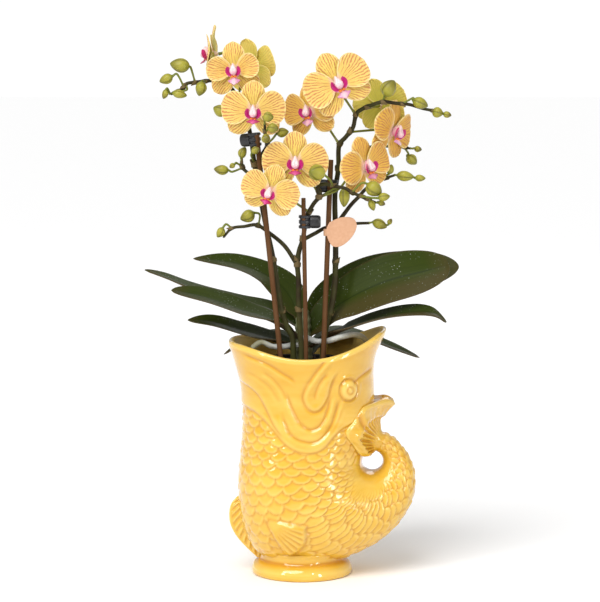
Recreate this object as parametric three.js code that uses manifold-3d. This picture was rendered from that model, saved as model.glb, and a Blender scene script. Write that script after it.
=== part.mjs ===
// A small moth orchid in bloom, growing in bark in a nursery pot that hangs in the neck of a
// glazed ceramic vase. The vase is a fish standing on its belly: its open mouth is the rim, and
// its tail curls up into a loop handle whose fan is pressed against the back of the head.
//
// Millimetres, +Z up. The origin is the centre of the foot's underside. +X is the side of the
// tail, and -Y is the front, towards which the blooms face.

import * as THREE from "three";
import { mergeVertices } from "three/addons/utils/BufferGeometryUtils.js";
import Module from "manifold-3d";

const wasm = await Module();
wasm.setup();

// ---------------------------------------------------------------- driving dimensions

const FIT = 0.35; // air between two pieces that touch on the real thing
const WELD = 0.004; // corners closer than this are one

const VASE = {
  wall: 4.5,
  footRadius: 37.6,
  neckRadius: 31.5,
  footHeight: 9,
  loop: { x: 52.5, z: 84.8, radius: 7.6 }, // centre and radius of the tail loop's hole
  rimFront: 166.8, // height of the rim where it dips, in front and behind
  lowerLip: 9, // how far the rim rises from there to the lower jaw's point, at -X
  upperLip: 18, // and to the upper jaw's point, at +X
  columns: 30, // corners round each ring, two for each scale
  scaleRow: 8.5, // distance from one row of scales to the next
  scaleLift: 1.1, // how far a scale's tip stands out
  scaleReach: 1.6, // and how far it reaches towards the tail
  boxiness: 0.88, // below 1 makes the rings fuller than an ellipse
};

// Silhouette of the head and neck, by height: x of the belly side, x of the back side, half depth.
const NECK = [
  { z: 84.8, left: -46.2, right: 44.9, depth: 43 },
  { z: 100, left: -44.9, right: 47.9, depth: 42.5 },
  { z: 115, left: -44.2, right: 51.1, depth: 42.5 },
  { z: 130, left: -44.4, right: 53.6, depth: 43 },
  { z: 142, left: -45.8, right: 53.6, depth: 44.5 },
  { z: 153, left: -48.6, right: 53.4, depth: 46.8 },
  { z: 165, left: -51.9, right: 55.1, depth: 49.3 },
  { z: 176, left: -55, right: 59.6, depth: 51 },
  { z: 186, left: -56.6, right: 63.6, depth: 52 },
];

// Silhouette of the belly and tail, by angle round the loop's centre, from the vase's left side
// (180) under the belly (270) and up the tail (360): outer radius and half depth.
const TAIL = [
  { at: 180, outer: 98.7, depth: 43 },
  { at: 195, outer: 103.1, depth: 43.5 },
  { at: 208, outer: 108.2, depth: 43.5 },
  { at: 219, outer: 109.3, depth: 42.5 },
  { at: 232, outer: 97.8, depth: 40 },
  { at: 245, outer: 84.3, depth: 36 },
  { at: 258, outer: 72.3, depth: 32 },
  { at: 270, outer: 63.6, depth: 28 },
  { at: 283, outer: 55.8, depth: 24.5 },
  { at: 298, outer: 48.4, depth: 21 },
  { at: 313, outer: 42.8, depth: 18.5 },
  { at: 330, outer: 36.8, depth: 16 },
  { at: 348, outer: 31.7, depth: 13.8 },
  { at: 370, outer: 26.6, depth: 12 },
  { at: 398, outer: 23.4, depth: 10.8 },
  { at: 430, outer: 22.4, depth: 10.5 },
];
const TAIL_END = 430;
const HOLLOW_END = 300; // the hollow follows the belly this far round

// Edge of the tail's fan on the near side, from the loop's top to the outer tip. It is the same
// on the far side.
const FAN_EDGE = [
  [51, 0, 93.5],
  [47.5, -15, 91.5],
  [43.7, -24, 91.6],
  [36.5, -32, 99],
  [32.7, -35.5, 107.3],
  [38.5, -30.5, 114],
  [45.5, -23, 128.4],
  [56, -10, 130],
  [67.8, 0, 129.8],
];

// Ridges of the face, as x and z on the near side; each is raised on both sides.
const RIDGES = [
  {
    width: 3.6,
    line: [[13, 160], [5, 151], [1, 142], [0.5, 134], [7.8, 128.6], [15.8, 133.4]],
  },
  { width: 3.2, line: [[-10, 131], [-5.9, 123.5], [2.1, 116.2], [10, 115.4], [17.4, 121.8]] },
  {
    width: 2.6,
    line: [[-42.5, 129], [-29.5, 124.5], [-16.5, 109.2], [-7.5, 100.5], [5.3, 97.4], [18.3, 101.1]],
  },
];
// Where the scales end under the head, as x and z.
const GILL = [
  [-52, 131], [-42.5, 128.5], [-35.3, 127], [-29.5, 123.5], [-20.5, 113.6], [-12.4, 103.5],
  [-1.1, 97.2], [13.5, 97], [18.3, 100.1], [24.7, 110.6], [33.7, 116.5], [42, 119], [60, 121],
];

const EYE = { x: 33.6, z: 142.8, radius: 6.9, tall: 1.18, height: 3.2 };

const POT = { lipZ: 159, lipHeight: 3, wall: 1.1, height: 84, baseRadius: 31, soilDrop: 3.5 };

const STICKS = [
  { name: "stick_left", radius: 1.9, foot: [-14.9, -23, 158], top: [-33, -23, 328] },
  { name: "stick_middle", radius: 1.6, foot: [3.1, -24, 158], top: [1, -22, 282] },
  { name: "stick_right", radius: 1.9, foot: [15.3, -20.8, 157.5], top: [21, -15.5, 309.5] },
];

const PETAL_THICK = 0.8;
const BLOOMS = [
  { at: [-65.5, 4.5, 386], face: [-0.99, 0.1, 0], roll: 0, size: 0.93 },
  { at: [-49, -20, 374], face: [-0.12, -1, 0.04], roll: 4, size: 0.94 },
  { at: [-37, 3, 376], face: [0.62, 0.78, 0.06], roll: -6, size: 0.95 },
  { at: [-35, -30, 345], face: [-0.05, -1, -0.12], roll: 0, size: 1 },
  { at: [6, -12, 344], face: [-0.5, -0.84, 0], roll: 8, size: 0.95 },
  { at: [25.8, -26, 364.5], face: [0.1, -1, 0.05], roll: 28, size: 1.09 },
  { at: [-5, -33, 308], face: [0, -1, -0.06], roll: 0, size: 1.02 },
  { at: [-23, -36, 287.5], face: [-0.25, -0.93, -0.2], roll: -18, size: 0.93 },
  { at: [46, -19, 304.5], face: [0.62, -0.75, 0.02], roll: 13, size: 1 },
  { at: [66, 1, 329], face: [0.8, -0.58, -0.12], roll: -12, size: 1.04 },
  { at: [58, 15, 348.5], face: [0.3, 0.92, 0.12], roll: -16, size: 0.9 },
];

// Flower spikes. Each has branches that follow points, with the radius at both ends; buds, with
// the point on the spike that the stalk leaves, and the bud's length, radius and direction; and
// the blooms that it carries, with the point that each bloom's stalk leaves and any on its way.
const SPIKES = [
  {
    name: "spike_left",
    branches: [
      {
        radius: [2.1, 1.1],
        points: [
          [-6.5, -12.5, 160], [-7, -12, 177.5], [-10.5, -13, 185.5], [-14.5, -14.5, 197],
          [-17.5, -16, 212.5], [-21.5, -16.5, 238.5], [-26.5, -17, 262], [-31.5, -17.5, 287.5],
          [-34.6, -17.6, 306], [-37, -17.5, 324], [-40, -15, 338], [-45.5, -8, 352],
          [-53.5, -5, 363], [-61, -6, 366.5], [-69.5, -7, 366.5], [-78, -8, 365.5],
          [-84, -9, 364.5], [-87, -10, 360.5], [-91, -10, 359.5], [-96, -10, 356.5],
        ],
      },
      {
        radius: [1.4, 0.9],
        points: [
          [-34.4, -17.6, 305], [-29.5, -15.8, 313], [-26, -20, 319], [-25.5, -29, 322],
          [-26.5, -38, 328], [-26.8, -41, 337],
        ],
      },
      {
        radius: [1.4, 0.9],
        points: [[-32.8, -17.6, 294], [-38, -14, 298.5], [-43, -12, 303], [-44.5, -12, 308.5]],
      },
    ],
    buds: [
      {
        from: [-78, -8, 365.5], knee: [-81, -9, 376], at: [-89, -10, 378],
        size: [14, 5.4], to: [-1, 0, 0.15],
      },
      {
        from: [-86, -10, 362], knee: [-91, -11, 371.5], at: [-99, -12, 368],
        size: [10, 3.8], to: [-0.9, 0, -0.4],
      },
      {
        from: [-84.5, -9.5, 363], knee: [-84, -13, 360], at: [-89, -14, 357],
        size: [10.5, 3.2], to: [0.95, 0, -0.2],
      },
      {
        from: [-96, -10, 356.8], knee: [-98, -11, 361], at: [-100, -12, 357],
        size: [7, 2.4], to: [-0.3, 0, -1],
      },
      {
        from: [-70, -7, 366.5], knee: [-71, -10, 366], at: [-74, -13, 361],
        size: [10.5, 4.2], to: [-0.2, 0, -1],
      },
      {
        from: [-41.5, -13, 342], knee: [-50, -10, 343], at: [-60, -10, 345],
        size: [10, 4.6], to: [-0.6, 0, 0.3],
      },
      {
        from: [-26.8, -40.5, 336], knee: [-27, -41.5, 339.5], at: [-24, -43.5, 341.5],
        size: [7.6, 3.8], to: [0.8, -0.4, 0],
      },
      {
        from: [-26.6, -39, 331], knee: [-24.5, -41, 332.5], at: [-20.5, -43, 333.5],
        size: [7.6, 3.6], to: [0.8, -0.4, -0.1],
      },
      {
        from: [-26, -34, 325], knee: [-27.5, -38, 325], at: [-25.5, -42.5, 326],
        size: [6.6, 3.4], to: [0.5, -0.8, 0],
      },
      {
        from: [-25.6, -25, 320.8], knee: [-21, -25, 325.5], at: [-14, -24, 329.5],
        size: [8.6, 3.6], to: [1, 0, 0.2],
      },
      {
        from: [-34.8, -17.8, 307.5], knee: [-36.8, -24, 313], at: [-33.5, -28.5, 317],
        size: [6.6, 2.8], to: [0.6, -0.5, 0.4],
      },
      {
        from: [-43.2, -12, 303.5], knee: [-51, -12, 300.5], at: [-59, -12, 302],
        size: [10.5, 3.7], to: [-1, 0, 0.1],
      },
      {
        from: [-44.5, -12, 308], knee: [-44.3, -12, 310.5], at: [-43, -12, 314.5],
        size: [8.6, 3.2], to: [0.4, 0, 1],
      },
      {
        from: [-44, -12, 304.5], knee: [-48, -13, 307], at: [-51, -14, 305],
        size: [4.4, 2], to: [-0.6, 0, -0.4],
      },
    ],
    carries: [
      [0, [-61, -6, 366.5]],
      [1, [-53.5, -5, 363]],
      [2, [-46.3, -7.5, 353.5]],
      [3, [-39, -15.5, 335]],
    ],
  },
  {
    name: "spike_middle",
    branches: [
      {
        radius: [2.1, 1.0],
        points: [
          [-0.5, -15, 159], [-0.5, -15, 169.5], [-1.5, -15.5, 184.5], [-2.5, -16, 206.5],
          [-2.5, -16, 220], [-3.5, -16, 234], [-2, -16.8, 243.5], [0.5, -17.2, 251],
          [2, -17.4, 260.5], [4.5, -17.8, 270], [8, -19, 277], [12.5, -21, 283.5],
          [11.5, -24, 290.5], [16.5, -27, 292.5], [22, -29, 291.3], [31, -33, 289.8],
          [36, -34, 286.8], [42, -34, 284.3], [47, -33, 281.8], [53.5, -33, 279.3],
        ],
      },
      {
        radius: [1.6, 0.9],
        points: [
          [-3.3, -16, 232], [-12.5, -14, 246], [-23.5, -12, 255.3], [-33, -10.5, 261.3],
          [-42, -10, 260.3], [-51.5, -10, 258.8], [-58, -11, 252],
        ],
      },
      {
        radius: [1.5, 1],
        points: [
          [0.6, -17.2, 251], [9.5, -14, 255.5], [17.5, -9, 259.3], [28, -5.5, 260.8],
          [40.5, -8, 262.3], [50, -10, 262.8],
        ],
      },
    ],
    buds: [
      {
        from: [-32, -10.5, 260.9], knee: [-31, -11, 269], at: [-40, -12, 268],
        size: [11, 4.7], to: [-0.85, 0, -0.4],
      },
      {
        from: [-51.5, -10, 258.8], knee: [-55.5, -11, 262], at: [-60, -12, 256],
        size: [8, 3.2], to: [-0.5, 0, -0.85],
      },
      {
        from: [49, -10, 262.8], knee: [52, -10, 263.5], at: [57, -10, 261.8],
        size: [11, 3.8], to: [0.9, 0, -0.35],
      },
      {
        from: [57, -10, 262], knee: [61, -10, 261.3], at: [64.5, -10, 263.8],
        size: [4.6, 1.9], to: [0.5, 0, 0.8],
      },
      {
        from: [22, -29, 291.3], knee: [20.5, -38, 295.5], at: [10.5, -46, 302],
        size: [13, 6], to: [-0.6, -0.6, 0.15],
      },
      {
        from: [12.3, -21, 282.5], knee: [24, -23, 289], at: [30.5, -24, 282.5],
        size: [13.5, 4], to: [0, 0, -1],
      },
      {
        from: [36, -34, 286.8], knee: [43, -36, 293.8], at: [52, -37.5, 289.5],
        size: [12.5, 5.6], to: [0.7, -0.2, -0.5],
      },
      {
        from: [42, -34, 284.3], knee: [50, -41, 283.5], at: [59, -41, 284],
        size: [8.4, 3.1], to: [1, 0, 0.15],
      },
      {
        from: [47, -33, 281.8], knee: [48.5, -33.5, 281], at: [50.5, -34, 277.5],
        size: [8, 2.7], to: [0.35, 0, -0.9],
      },
      {
        from: [53, -33, 279.5], knee: [55, -33, 279.3], at: [57.5, -33, 279],
        size: [5.4, 2.2], to: [0.9, 0, -0.3],
      },
    ],
    carries: [
      [6, [12, -21.5, 286]],
      [7, [5, -18, 271.5]],
      [8, [12.3, -21, 282.5], [26, -22, 288], [34, -16, 297.5]],
    ],
  },
  {
    name: "spike_right",
    branches: [
      {
        radius: [2.3, 1.0],
        points: [
          [15, -8.5, 157.5], [15.8, -9.5, 173.5], [17.2, -11, 185], [19, -12, 192], [22, -12.6, 203.5],
          [24, -12.4, 218], [24.5, -11.6, 232], [24.6, -10.6, 243], [24.4, -9.8, 261],
          [24, -9.4, 274.5], [24.3, -10, 287], [26.5, -12, 303], [27, -12, 319.5],
          [32, -11.5, 326], [37, -11, 332.5], [39.5, -10.5, 342.5], [43.5, -11, 346],
          [49, -12.5, 348.5], [58.5, -14.5, 351.5], [68, -14.5, 350.5], [78, -13, 349.5],
          [88, -11, 346.5], [95, -9.5, 345], [103, -9, 343],
        ],
      },
      {
        radius: [1.6, 0.9],
        points: [
          [24.4, -9.6, 261], [29, -5, 266.5], [36, -1.5, 275.5], [42, 1, 281.5], [46.5, 2, 286.5],
          [53, 2.5, 291], [60.5, 2, 294.5], [69, 0.5, 297.5],
        ],
      },
      {
        radius: [1.5, 0.8],
        points: [
          [26.4, -11.9, 302.5], [33, 3, 309.5], [45, 15, 316], [57, 18, 317.5], [70, 18.5, 317.3],
          [81, 16.5, 316],
        ],
      },
    ],
    buds: [
      {
        from: [58.5, -14.5, 351.5], knee: [60, -15.5, 356], at: [63.5, -17, 361.5],
        size: [13, 5.8], to: [0.5, -0.2, 0.85],
      },
      {
        from: [73, -13.7, 350.1], knee: [81, -15.5, 354.5], at: [86, -15.5, 350.5],
        size: [11.5, 4.2], to: [0.85, 0, -0.35],
      },
      {
        from: [95, -9.5, 345], knee: [96.5, -9.5, 344.8], at: [99, -9.5, 343.5],
        size: [8, 4], to: [0.9, 0, -0.2],
      },
      {
        from: [101, -9, 343.6], knee: [103, -9, 343], at: [106, -9, 342],
        size: [6, 2.5], to: [1, 0, -0.2],
      },
      {
        from: [68, 0.5, 297.3], knee: [71, 0, 297.5], at: [76, 0, 296.5],
        size: [12.5, 3.9], to: [1, 0, -0.1],
      },
      {
        from: [76, 0, 296.5], knee: [82, 0.5, 295.8], at: [87, 1, 295],
        size: [7.6, 2.6], to: [1, 0, -0.05],
      },
      {
        from: [61, 2, 295], knee: [63, 2, 297.5], at: [65, 2, 301.5],
        size: [7, 3.4], to: [0.3, 0, 1],
      },
      {
        from: [76, 17.4, 316.5], knee: [79, 18, 312], at: [81.5, 17, 307.5],
        size: [9, 4], to: [0.7, 0, -0.6],
      },
      {
        from: [80, 16.7, 316.1], knee: [82.5, 16.5, 316], at: [86, 16.5, 315.6],
        size: [5.6, 2.4], to: [1, 0, -0.2],
      },
    ],
    carries: [
      [4, [26.9, -12, 321]],
      [5, [39.3, -10.6, 341.5]],
      [9, [34.6, -11.2, 329.4]],
      [10, [47, -12, 347.8]],
    ],
  },
];

// Leaves, lowest first: the midrib's points, half width, how far the blade is turned about the
// midrib in degrees (0 lies flat, 90 has its upper face to the front), and the channel's depth.
const LEAVES = [
  {
    name: "leaf_left_1",
    halfWidth: 8.5,
    turn: [0, 10],
    points: [[-2.5, 8, 162], [-12, 28, 170], [-24, 50, 173], [-42, 63, 166], [-60, 64, 155.5]],
  },
  {
    name: "leaf_right_1",
    halfWidth: 9,
    turn: [2, 24],
    points: [[4.5, 8, 162], [15, 28, 170.5], [31, 52, 174.5], [58, 69, 164.5], [91, 74, 151.5]],
  },
  {
    name: "leaf_left_2",
    halfWidth: 12,
    turn: [2, 26],
    points: [[-3, 5, 169], [-24, 7, 174.5], [-46, 9, 180.5], [-67, 9, 187], [-85, 7, 189]],
  },
  {
    name: "leaf_right_2",
    halfWidth: 12,
    turn: [4, 22],
    points: [
      [4.5, 4, 168], [20, 1.5, 176.5], [32, -6, 183.5], [57, -14, 193], [79, -18, 197.5],
      [95, -18, 197], [106, -15, 190],
    ],
  },
  {
    name: "leaf_left_3",
    halfWidth: 16.5,
    turn: [8, 22],
    points: [[-2.5, 3, 175], [-22, -3, 189], [-46, -9, 198], [-71, -13, 207.5], [-96, -13, 213.5]],
  },
  {
    name: "leaf_right_3",
    halfWidth: 19,
    turn: [46, 60],
    points: [[4, 9, 183], [21, 19, 201], [51, 25, 216], [84, 22, 222.5], [117, 16, 228]],
  },
  {
    name: "leaf_right_4",
    halfWidth: 19.5,
    turn: [52, 66],
    points: [
      [4.5, 4, 178], [18.5, 2.5, 192.5], [34, -3.5, 205.5], [61, -8, 219], [90, -10, 227],
      [108, -9, 232],
    ],
  },
  {
    name: "leaf_left_4",
    halfWidth: 12,
    turn: [6, 12],
    points: [
      [-1.5, 8.5, 182.5], [-24, 20.5, 195], [-50, 23, 201], [-82, 20, 211], [-102, 16, 220],
      [-117, 12, 226],
    ],
  },
  {
    name: "leaf_left_5",
    halfWidth: 13,
    turn: [28, 20],
    points: [[-0.5, 8, 190], [-12, 24, 208], [-26, 32, 219], [-50, 35, 228], [-82, 32, 232.5]],
  },
];
const LEAF = { thick: 1.5, edge: 0.9, channel: 0.2 };

const ROOTS = [
  {
    name: "air_root_left",
    radius: 2,
    points: [
      [-1.1, -1.4, 171.2], [-3.5, -5.8, 171.8], [-8, -7.6, 172], [-13, -10.5, 171.5],
      [-22, -13.5, 172],
      [-30, -13, 175], [-37.5, -13, 170.5],
    ],
  },
  {
    name: "air_root_right",
    radius: 2.1,
    points: [
      [2.2, -2.1, 177], [6, -9.5, 177], [10.5, -14.8, 176], [19, -15.6, 176.5], [29, -13, 179],
      [37, -7.5, 180], [44.5, -1, 177.5], [48.8, 4, 172.5],
    ],
  },
];

const CLIPS = [
  { name: "clip_left", at: [-34.2, -20.3, 324.5], tilt: 6, tab: [-0.4, 0.2] },
  { name: "clip_middle", at: [2, -19.6, 264.5], tilt: 0, tab: [1, 0] },
  { name: "clip_right", at: [22, -13, 290], tilt: -2, tab: [-1, 0] },
];

// The care tag's outline, as x and z round its centre.
const TAG = {
  at: [28.5, -20.6, 256.5],
  thick: 1,
  collar: { radius: 3.4, height: 5 }, // round the right stick
  outline: [
    [-8.6, 7.6], [0, 11.2], [8.6, 10.6], [11.4, 5.2], [8, -3], [0.4, -9.6], [-6.2, -9.8],
    [-10, -3.6], [-10.8, 2.4],
  ],
};

// ---------------------------------------------------------------- materials

const finish = (color, roughness, metalness = 0) =>
  new THREE.MeshStandardMaterial({ color, roughness, metalness });
const glaze = finish(0xf2b632, 0.18);
const potPlastic = finish(0x2b2623, 0.5);
const bark = finish(0x3f2a1c, 0.95);
const stemSkin = finish(0x4a4a2a, 0.55);
const leafSkin = finish(0x35521f, 0.4);
const tepalSkin = finish(0xf0c254, 0.6);
const lipSkin = finish(0xd04590, 0.5);
const bamboo = finish(0x6b4a34, 0.7);
const clipPlastic = finish(0x16161a, 0.4);
const rootSkin = finish(0xaeb2a6, 0.75);
const tagCard = finish(0xf3c6a3, 0.8);

// ---------------------------------------------------------------- solids

const vec = (p) => new THREE.Vector3(...p);
const ringAngles = (count) => Array.from({ length: count }, (_, i) => (2 * Math.PI * i) / count);

// A closed solid from shared points and triangles, turned so that its faces point out.
function solid(points, faces) {
  let volume = 0;
  for (const [a, b, c] of faces) volume += points[a].dot(points[b].clone().cross(points[c]));
  const turned = volume < 0 ? faces.map(([a, b, c]) => [a, c, b]) : faces;
  return new wasm.Manifold(
    new wasm.Mesh({
      numProp: 3,
      vertProperties: new Float32Array(points.flatMap((p) => p.toArray())),
      triVerts: new Uint32Array(turned.flat()),
    }),
  );
}

// A three.js geometry as a solid, placed by a matrix.
function solidOf(geometry, matrix = new THREE.Matrix4()) {
  const plain = new THREE.BufferGeometry().setAttribute("position", geometry.getAttribute("position"));
  if (geometry.index) plain.setIndex(geometry.index);
  const merged = mergeVertices(plain.applyMatrix4(matrix), 1e-3);
  const at = merged.getAttribute("position");
  const corner = (i) => new THREE.Vector3().fromBufferAttribute(at, i);
  const points = Array.from({ length: at.count }, (_, i) => corner(i));
  const faces = [];
  for (let i = 0; i < merged.index.count; i += 3) {
    const [a, b, c] = [0, 1, 2].map((k) => merged.index.getX(i + k));
    if (a !== b && b !== c && c !== a) faces.push([a, b, c]);
  }
  return solid(points, faces);
}

const joined = (solids) => solids.reduce((all, s) => all.add(s));

// The largest body of a solid, without the slivers of air that joining can leave inside it.
const mainBody = (made) =>
  made.decompose().reduce((best, body) => (body.volume() > best.volume() ? body : best));

// The triangles of a solid with corners closer than a few microns made one, so that no sliver of
// a join is left. Where two faces fall on each other, both go.
function cleanTriangles(made) {
  const data = made.getMesh();
  const corner = new Map();
  const points = [];
  const index = Array.from({ length: data.numVert }, (_, i) => {
    const p = Array.from(data.vertProperties.slice(3 * i, 3 * i + 3), (x) => Math.round(x / WELD));
    const key = p.join();
    if (!corner.has(key)) corner.set(key, points.push(p.map((x) => x * WELD)) - 1);
    return corner.get(key);
  });
  const faces = new Map();
  for (let t = 0; t < data.numTri; t++) {
    const face = Array.from(data.triVerts.slice(3 * t, 3 * t + 3), (v) => index[v]);
    if (new Set(face).size < 3) continue;
    const key = face.toSorted((a, b) => a - b).join();
    if (!faces.delete(key)) faces.set(key, face);
  }
  return { points, faces: [...faces.values()] };
}

function meshOf(name, made, material) {
  const { points, faces } = cleanTriangles(made);
  const geometry = new THREE.BufferGeometry();
  geometry.setAttribute("position", new THREE.BufferAttribute(Float32Array.from(points.flat()), 3));
  geometry.setIndex(faces.flat());
  geometry.computeVertexNormals();
  const mesh = new THREE.Mesh(geometry, material);
  mesh.name = name;
  return mesh;
}

const middleOf = (ring) =>
  ring.reduce((sum, p) => sum.add(p), new THREE.Vector3()).divideScalar(ring.length);

// A skin over rings of equal count, closed at both ends by a fan round each end ring's middle.
// With a parity, the squares between rings are split by turns one way and the other.
function loft(rings, parity) {
  const count = rings[0].length;
  const points = rings.flat();
  const faces = [];
  for (let r = 0; r + 1 < rings.length; r++)
    for (let i = 0; i < count; i++) {
      const [a, b] = [r * count + i, r * count + ((i + 1) % count)];
      const turned = parity !== undefined && (parity + r + i) % 2 === 0;
      if (turned) faces.push([a, b, a + count], [b, b + count, a + count]);
      else faces.push([a, b, b + count], [a, b + count, a + count]);
    }
  for (const [ring, flip] of [[0, true], [rings.length - 1, false]]) {
    const hub = points.push(middleOf(rings[ring])) - 1;
    for (let i = 0; i < count; i++) {
      const [a, b] = [ring * count + i, ring * count + ((i + 1) % count)];
      faces.push(flip ? [hub, b, a] : [hub, a, b]);
    }
  }
  return solid(points, faces);
}

// A round rod through the points, with its radius at each share of the way along. With steps, it
// follows a smooth curve through the points in that many pieces.
function rod(given, radius, sides, steps) {
  const marks = given.map((p) => (p.isVector3 ? p : vec(p)));
  const curve = new THREE.CatmullRomCurve3(marks, false, "centripetal");
  const points = steps ? curve.getSpacedPoints(steps) : marks;
  const last = points.length - 1;
  const ahead = (k) =>
    points[Math.min(last, k + 1)].clone().sub(points[Math.max(0, k - 1)]).normalize();
  const side = new THREE.Vector3(0.31, 0.87, 0.39);
  return loft(
    points.map((middle, k) => {
      const forward = ahead(k);
      side.projectOnPlane(forward).normalize();
      const across = forward.clone().cross(side);
      const r = radius(k / last);
      return ringAngles(sides).map((a) =>
        middle.clone().addScaledVector(side, r * Math.cos(a)).addScaledVector(across, r * Math.sin(a)),
      );
    }),
  );
}

// A thin blade: place(u, v) is its middle surface, with u from -1 to 1 across and v along, and
// thick(u, v) its thickness. Both faces are split into triangles alike.
function blade(place, thick, across, along) {
  const us = Array.from({ length: across + 1 }, (_, i) => -1 + (2 * i) / across);
  const near = 1e-3;
  const faceAt = (u, v, side) => {
    const p = place(u, v);
    const du = place(u + near, v).sub(place(u - near, v));
    const dv = place(u, Math.min(1, v + near)).sub(place(u, Math.max(0, v - near)));
    return p.addScaledVector(du.cross(dv).normalize(), (side * thick(u, v)) / 2);
  };
  const points = [];
  for (const side of [1, -1])
    for (const v of along) for (const u of us) points.push(faceAt(u, v, side));
  const columns = us.length;
  const rows = along.length;
  const under = columns * rows;
  const at = (r, c) => r * columns + c;
  const faces = [];
  for (let r = 0; r + 1 < rows; r++)
    for (let c = 0; c + 1 < columns; c++) {
      const quad = [at(r, c), at(r, c + 1), at(r + 1, c + 1), at(r + 1, c)];
      const [p, q, s, t] = quad;
      faces.push([p, q, s], [p, s, t]);
      faces.push([p + under, s + under, q + under], [p + under, t + under, s + under]);
    }
  const border = [];
  for (let c = 0; c + 1 < columns; c++) border.push(at(0, c));
  for (let r = 0; r + 1 < rows; r++) border.push(at(r, columns - 1));
  for (let c = columns - 1; c > 0; c--) border.push(at(rows - 1, c));
  for (let r = rows - 1; r > 0; r--) border.push(at(r, 0));
  border.forEach((a, i) => {
    const b = border[(i + 1) % border.length];
    faces.push([a, a + under, b + under], [a, b + under, b]);
  });
  return solid(points, faces);
}

// A generator of numbers from 0 to 1 that is the same on each run.
function dice(seed) {
  let state = seed;
  return () => {
    state = (state * 1664525 + 1013904223) % 4294967296;
    return state / 4294967296;
  };
}

const smooth = (low, high, x) => {
  const t = Math.min(1, Math.max(0, (x - low) / (high - low)));
  return t * t * (3 - 2 * t);
};

// The value of a field of a table at a place, on a smooth cubic through the table's rows.
function along(table, key, field, at) {
  const last = table.length - 1;
  const x = Math.min(table[last][key], Math.max(table[0][key], at));
  let i = 0;
  while (i < last - 1 && table[i + 1][key] < x) i++;
  const slope = (k) => {
    const [a, b] = [Math.max(0, k - 1), Math.min(last, k + 1)];
    return (table[b][field] - table[a][field]) / (table[b][key] - table[a][key]);
  };
  const step = table[i + 1][key] - table[i][key];
  const t = (x - table[i][key]) / step;
  const [t2, t3] = [t * t, t * t * t];
  return (
    (2 * t3 - 3 * t2 + 1) * table[i][field] +
    (t3 - 2 * t2 + t) * step * slope(i) +
    (3 * t2 - 2 * t3) * table[i + 1][field] +
    (t3 - t2) * step * slope(i + 1)
  );
}

// z on an open line of x and z, by x.
function lineHeight(line, x) {
  const last = line.length - 1;
  if (x <= line[0][0]) return line[0][1];
  if (x >= line[last][0]) return line[last][1];
  const i = line.findIndex((p, k) => k < last && x < line[k + 1][0]);
  const t = (x - line[i][0]) / (line[i + 1][0] - line[i][0]);
  return line[i][1] + t * (line[i + 1][1] - line[i][1]);
}

// ---------------------------------------------------------------- the vase

const rounded = (x) => Math.sign(x) * Math.abs(x) ** VASE.boxiness;

// Height of the rim at an angle round the mouth: 0 is the back of the head, 180 the lower jaw.
function rimHeight(angle) {
  const c = Math.cos(angle);
  const lower = VASE.lowerLip * Math.sin((Math.PI * c) / 2) ** 2;
  return VASE.rimFront + (c < 0 ? lower : VASE.upperLip * c * c);
}

// A point of the neck, at a height and an angle, moved in from the outside by inset.
function neckPoint(z, angle, inset) {
  const [left, right] = [along(NECK, "z", "left", z), along(NECK, "z", "right", z)];
  const depth = along(NECK, "z", "depth", z) - inset;
  const half = (right - left) / 2 - inset;
  return new THREE.Vector3(
    (left + right) / 2 + half * rounded(Math.cos(angle)),
    depth * rounded(Math.sin(angle)),
    z,
  );
}

// A point of the belly and tail, on the plane through the loop's centre at the turn in degrees.
function bellyPoint(turn, angle, inset) {
  const outer = along(TAIL, "at", "outer", turn) - inset;
  const inner = VASE.loop.radius + inset;
  const depth = along(TAIL, "at", "depth", turn) - inset;
  const out = (outer + inner) / 2 - ((outer - inner) / 2) * rounded(Math.cos(angle));
  const a = THREE.MathUtils.degToRad(turn);
  return new THREE.Vector3(
    VASE.loop.x + out * Math.cos(a),
    depth * rounded(Math.sin(angle)),
    VASE.loop.z + out * Math.sin(a),
  );
}

// y of the vase's near side at x and z: on the neck by height, below it by the belly's plane.
function nearSide(x, z) {
  const power = 2 / VASE.boxiness;
  const across = (half, depth, off) => {
    const c = Math.min(1, Math.abs(off) / half);
    return -depth * (1 - c ** power) ** (1 / power);
  };
  if (z >= VASE.loop.z) {
    const [left, right] = [along(NECK, "z", "left", z), along(NECK, "z", "right", z)];
    return across((right - left) / 2, along(NECK, "z", "depth", z), x - (left + right) / 2);
  }
  const [dx, dz] = [x - VASE.loop.x, z - VASE.loop.z];
  const turn = (THREE.MathUtils.radToDeg(Math.atan2(dz, dx)) + 360) % 360;
  const [outer, inner] = [along(TAIL, "at", "outer", turn), VASE.loop.radius];
  const off = Math.hypot(dx, dz) - (outer + inner) / 2;
  return across((outer - inner) / 2, along(TAIL, "at", "depth", turn), off);
}

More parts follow.
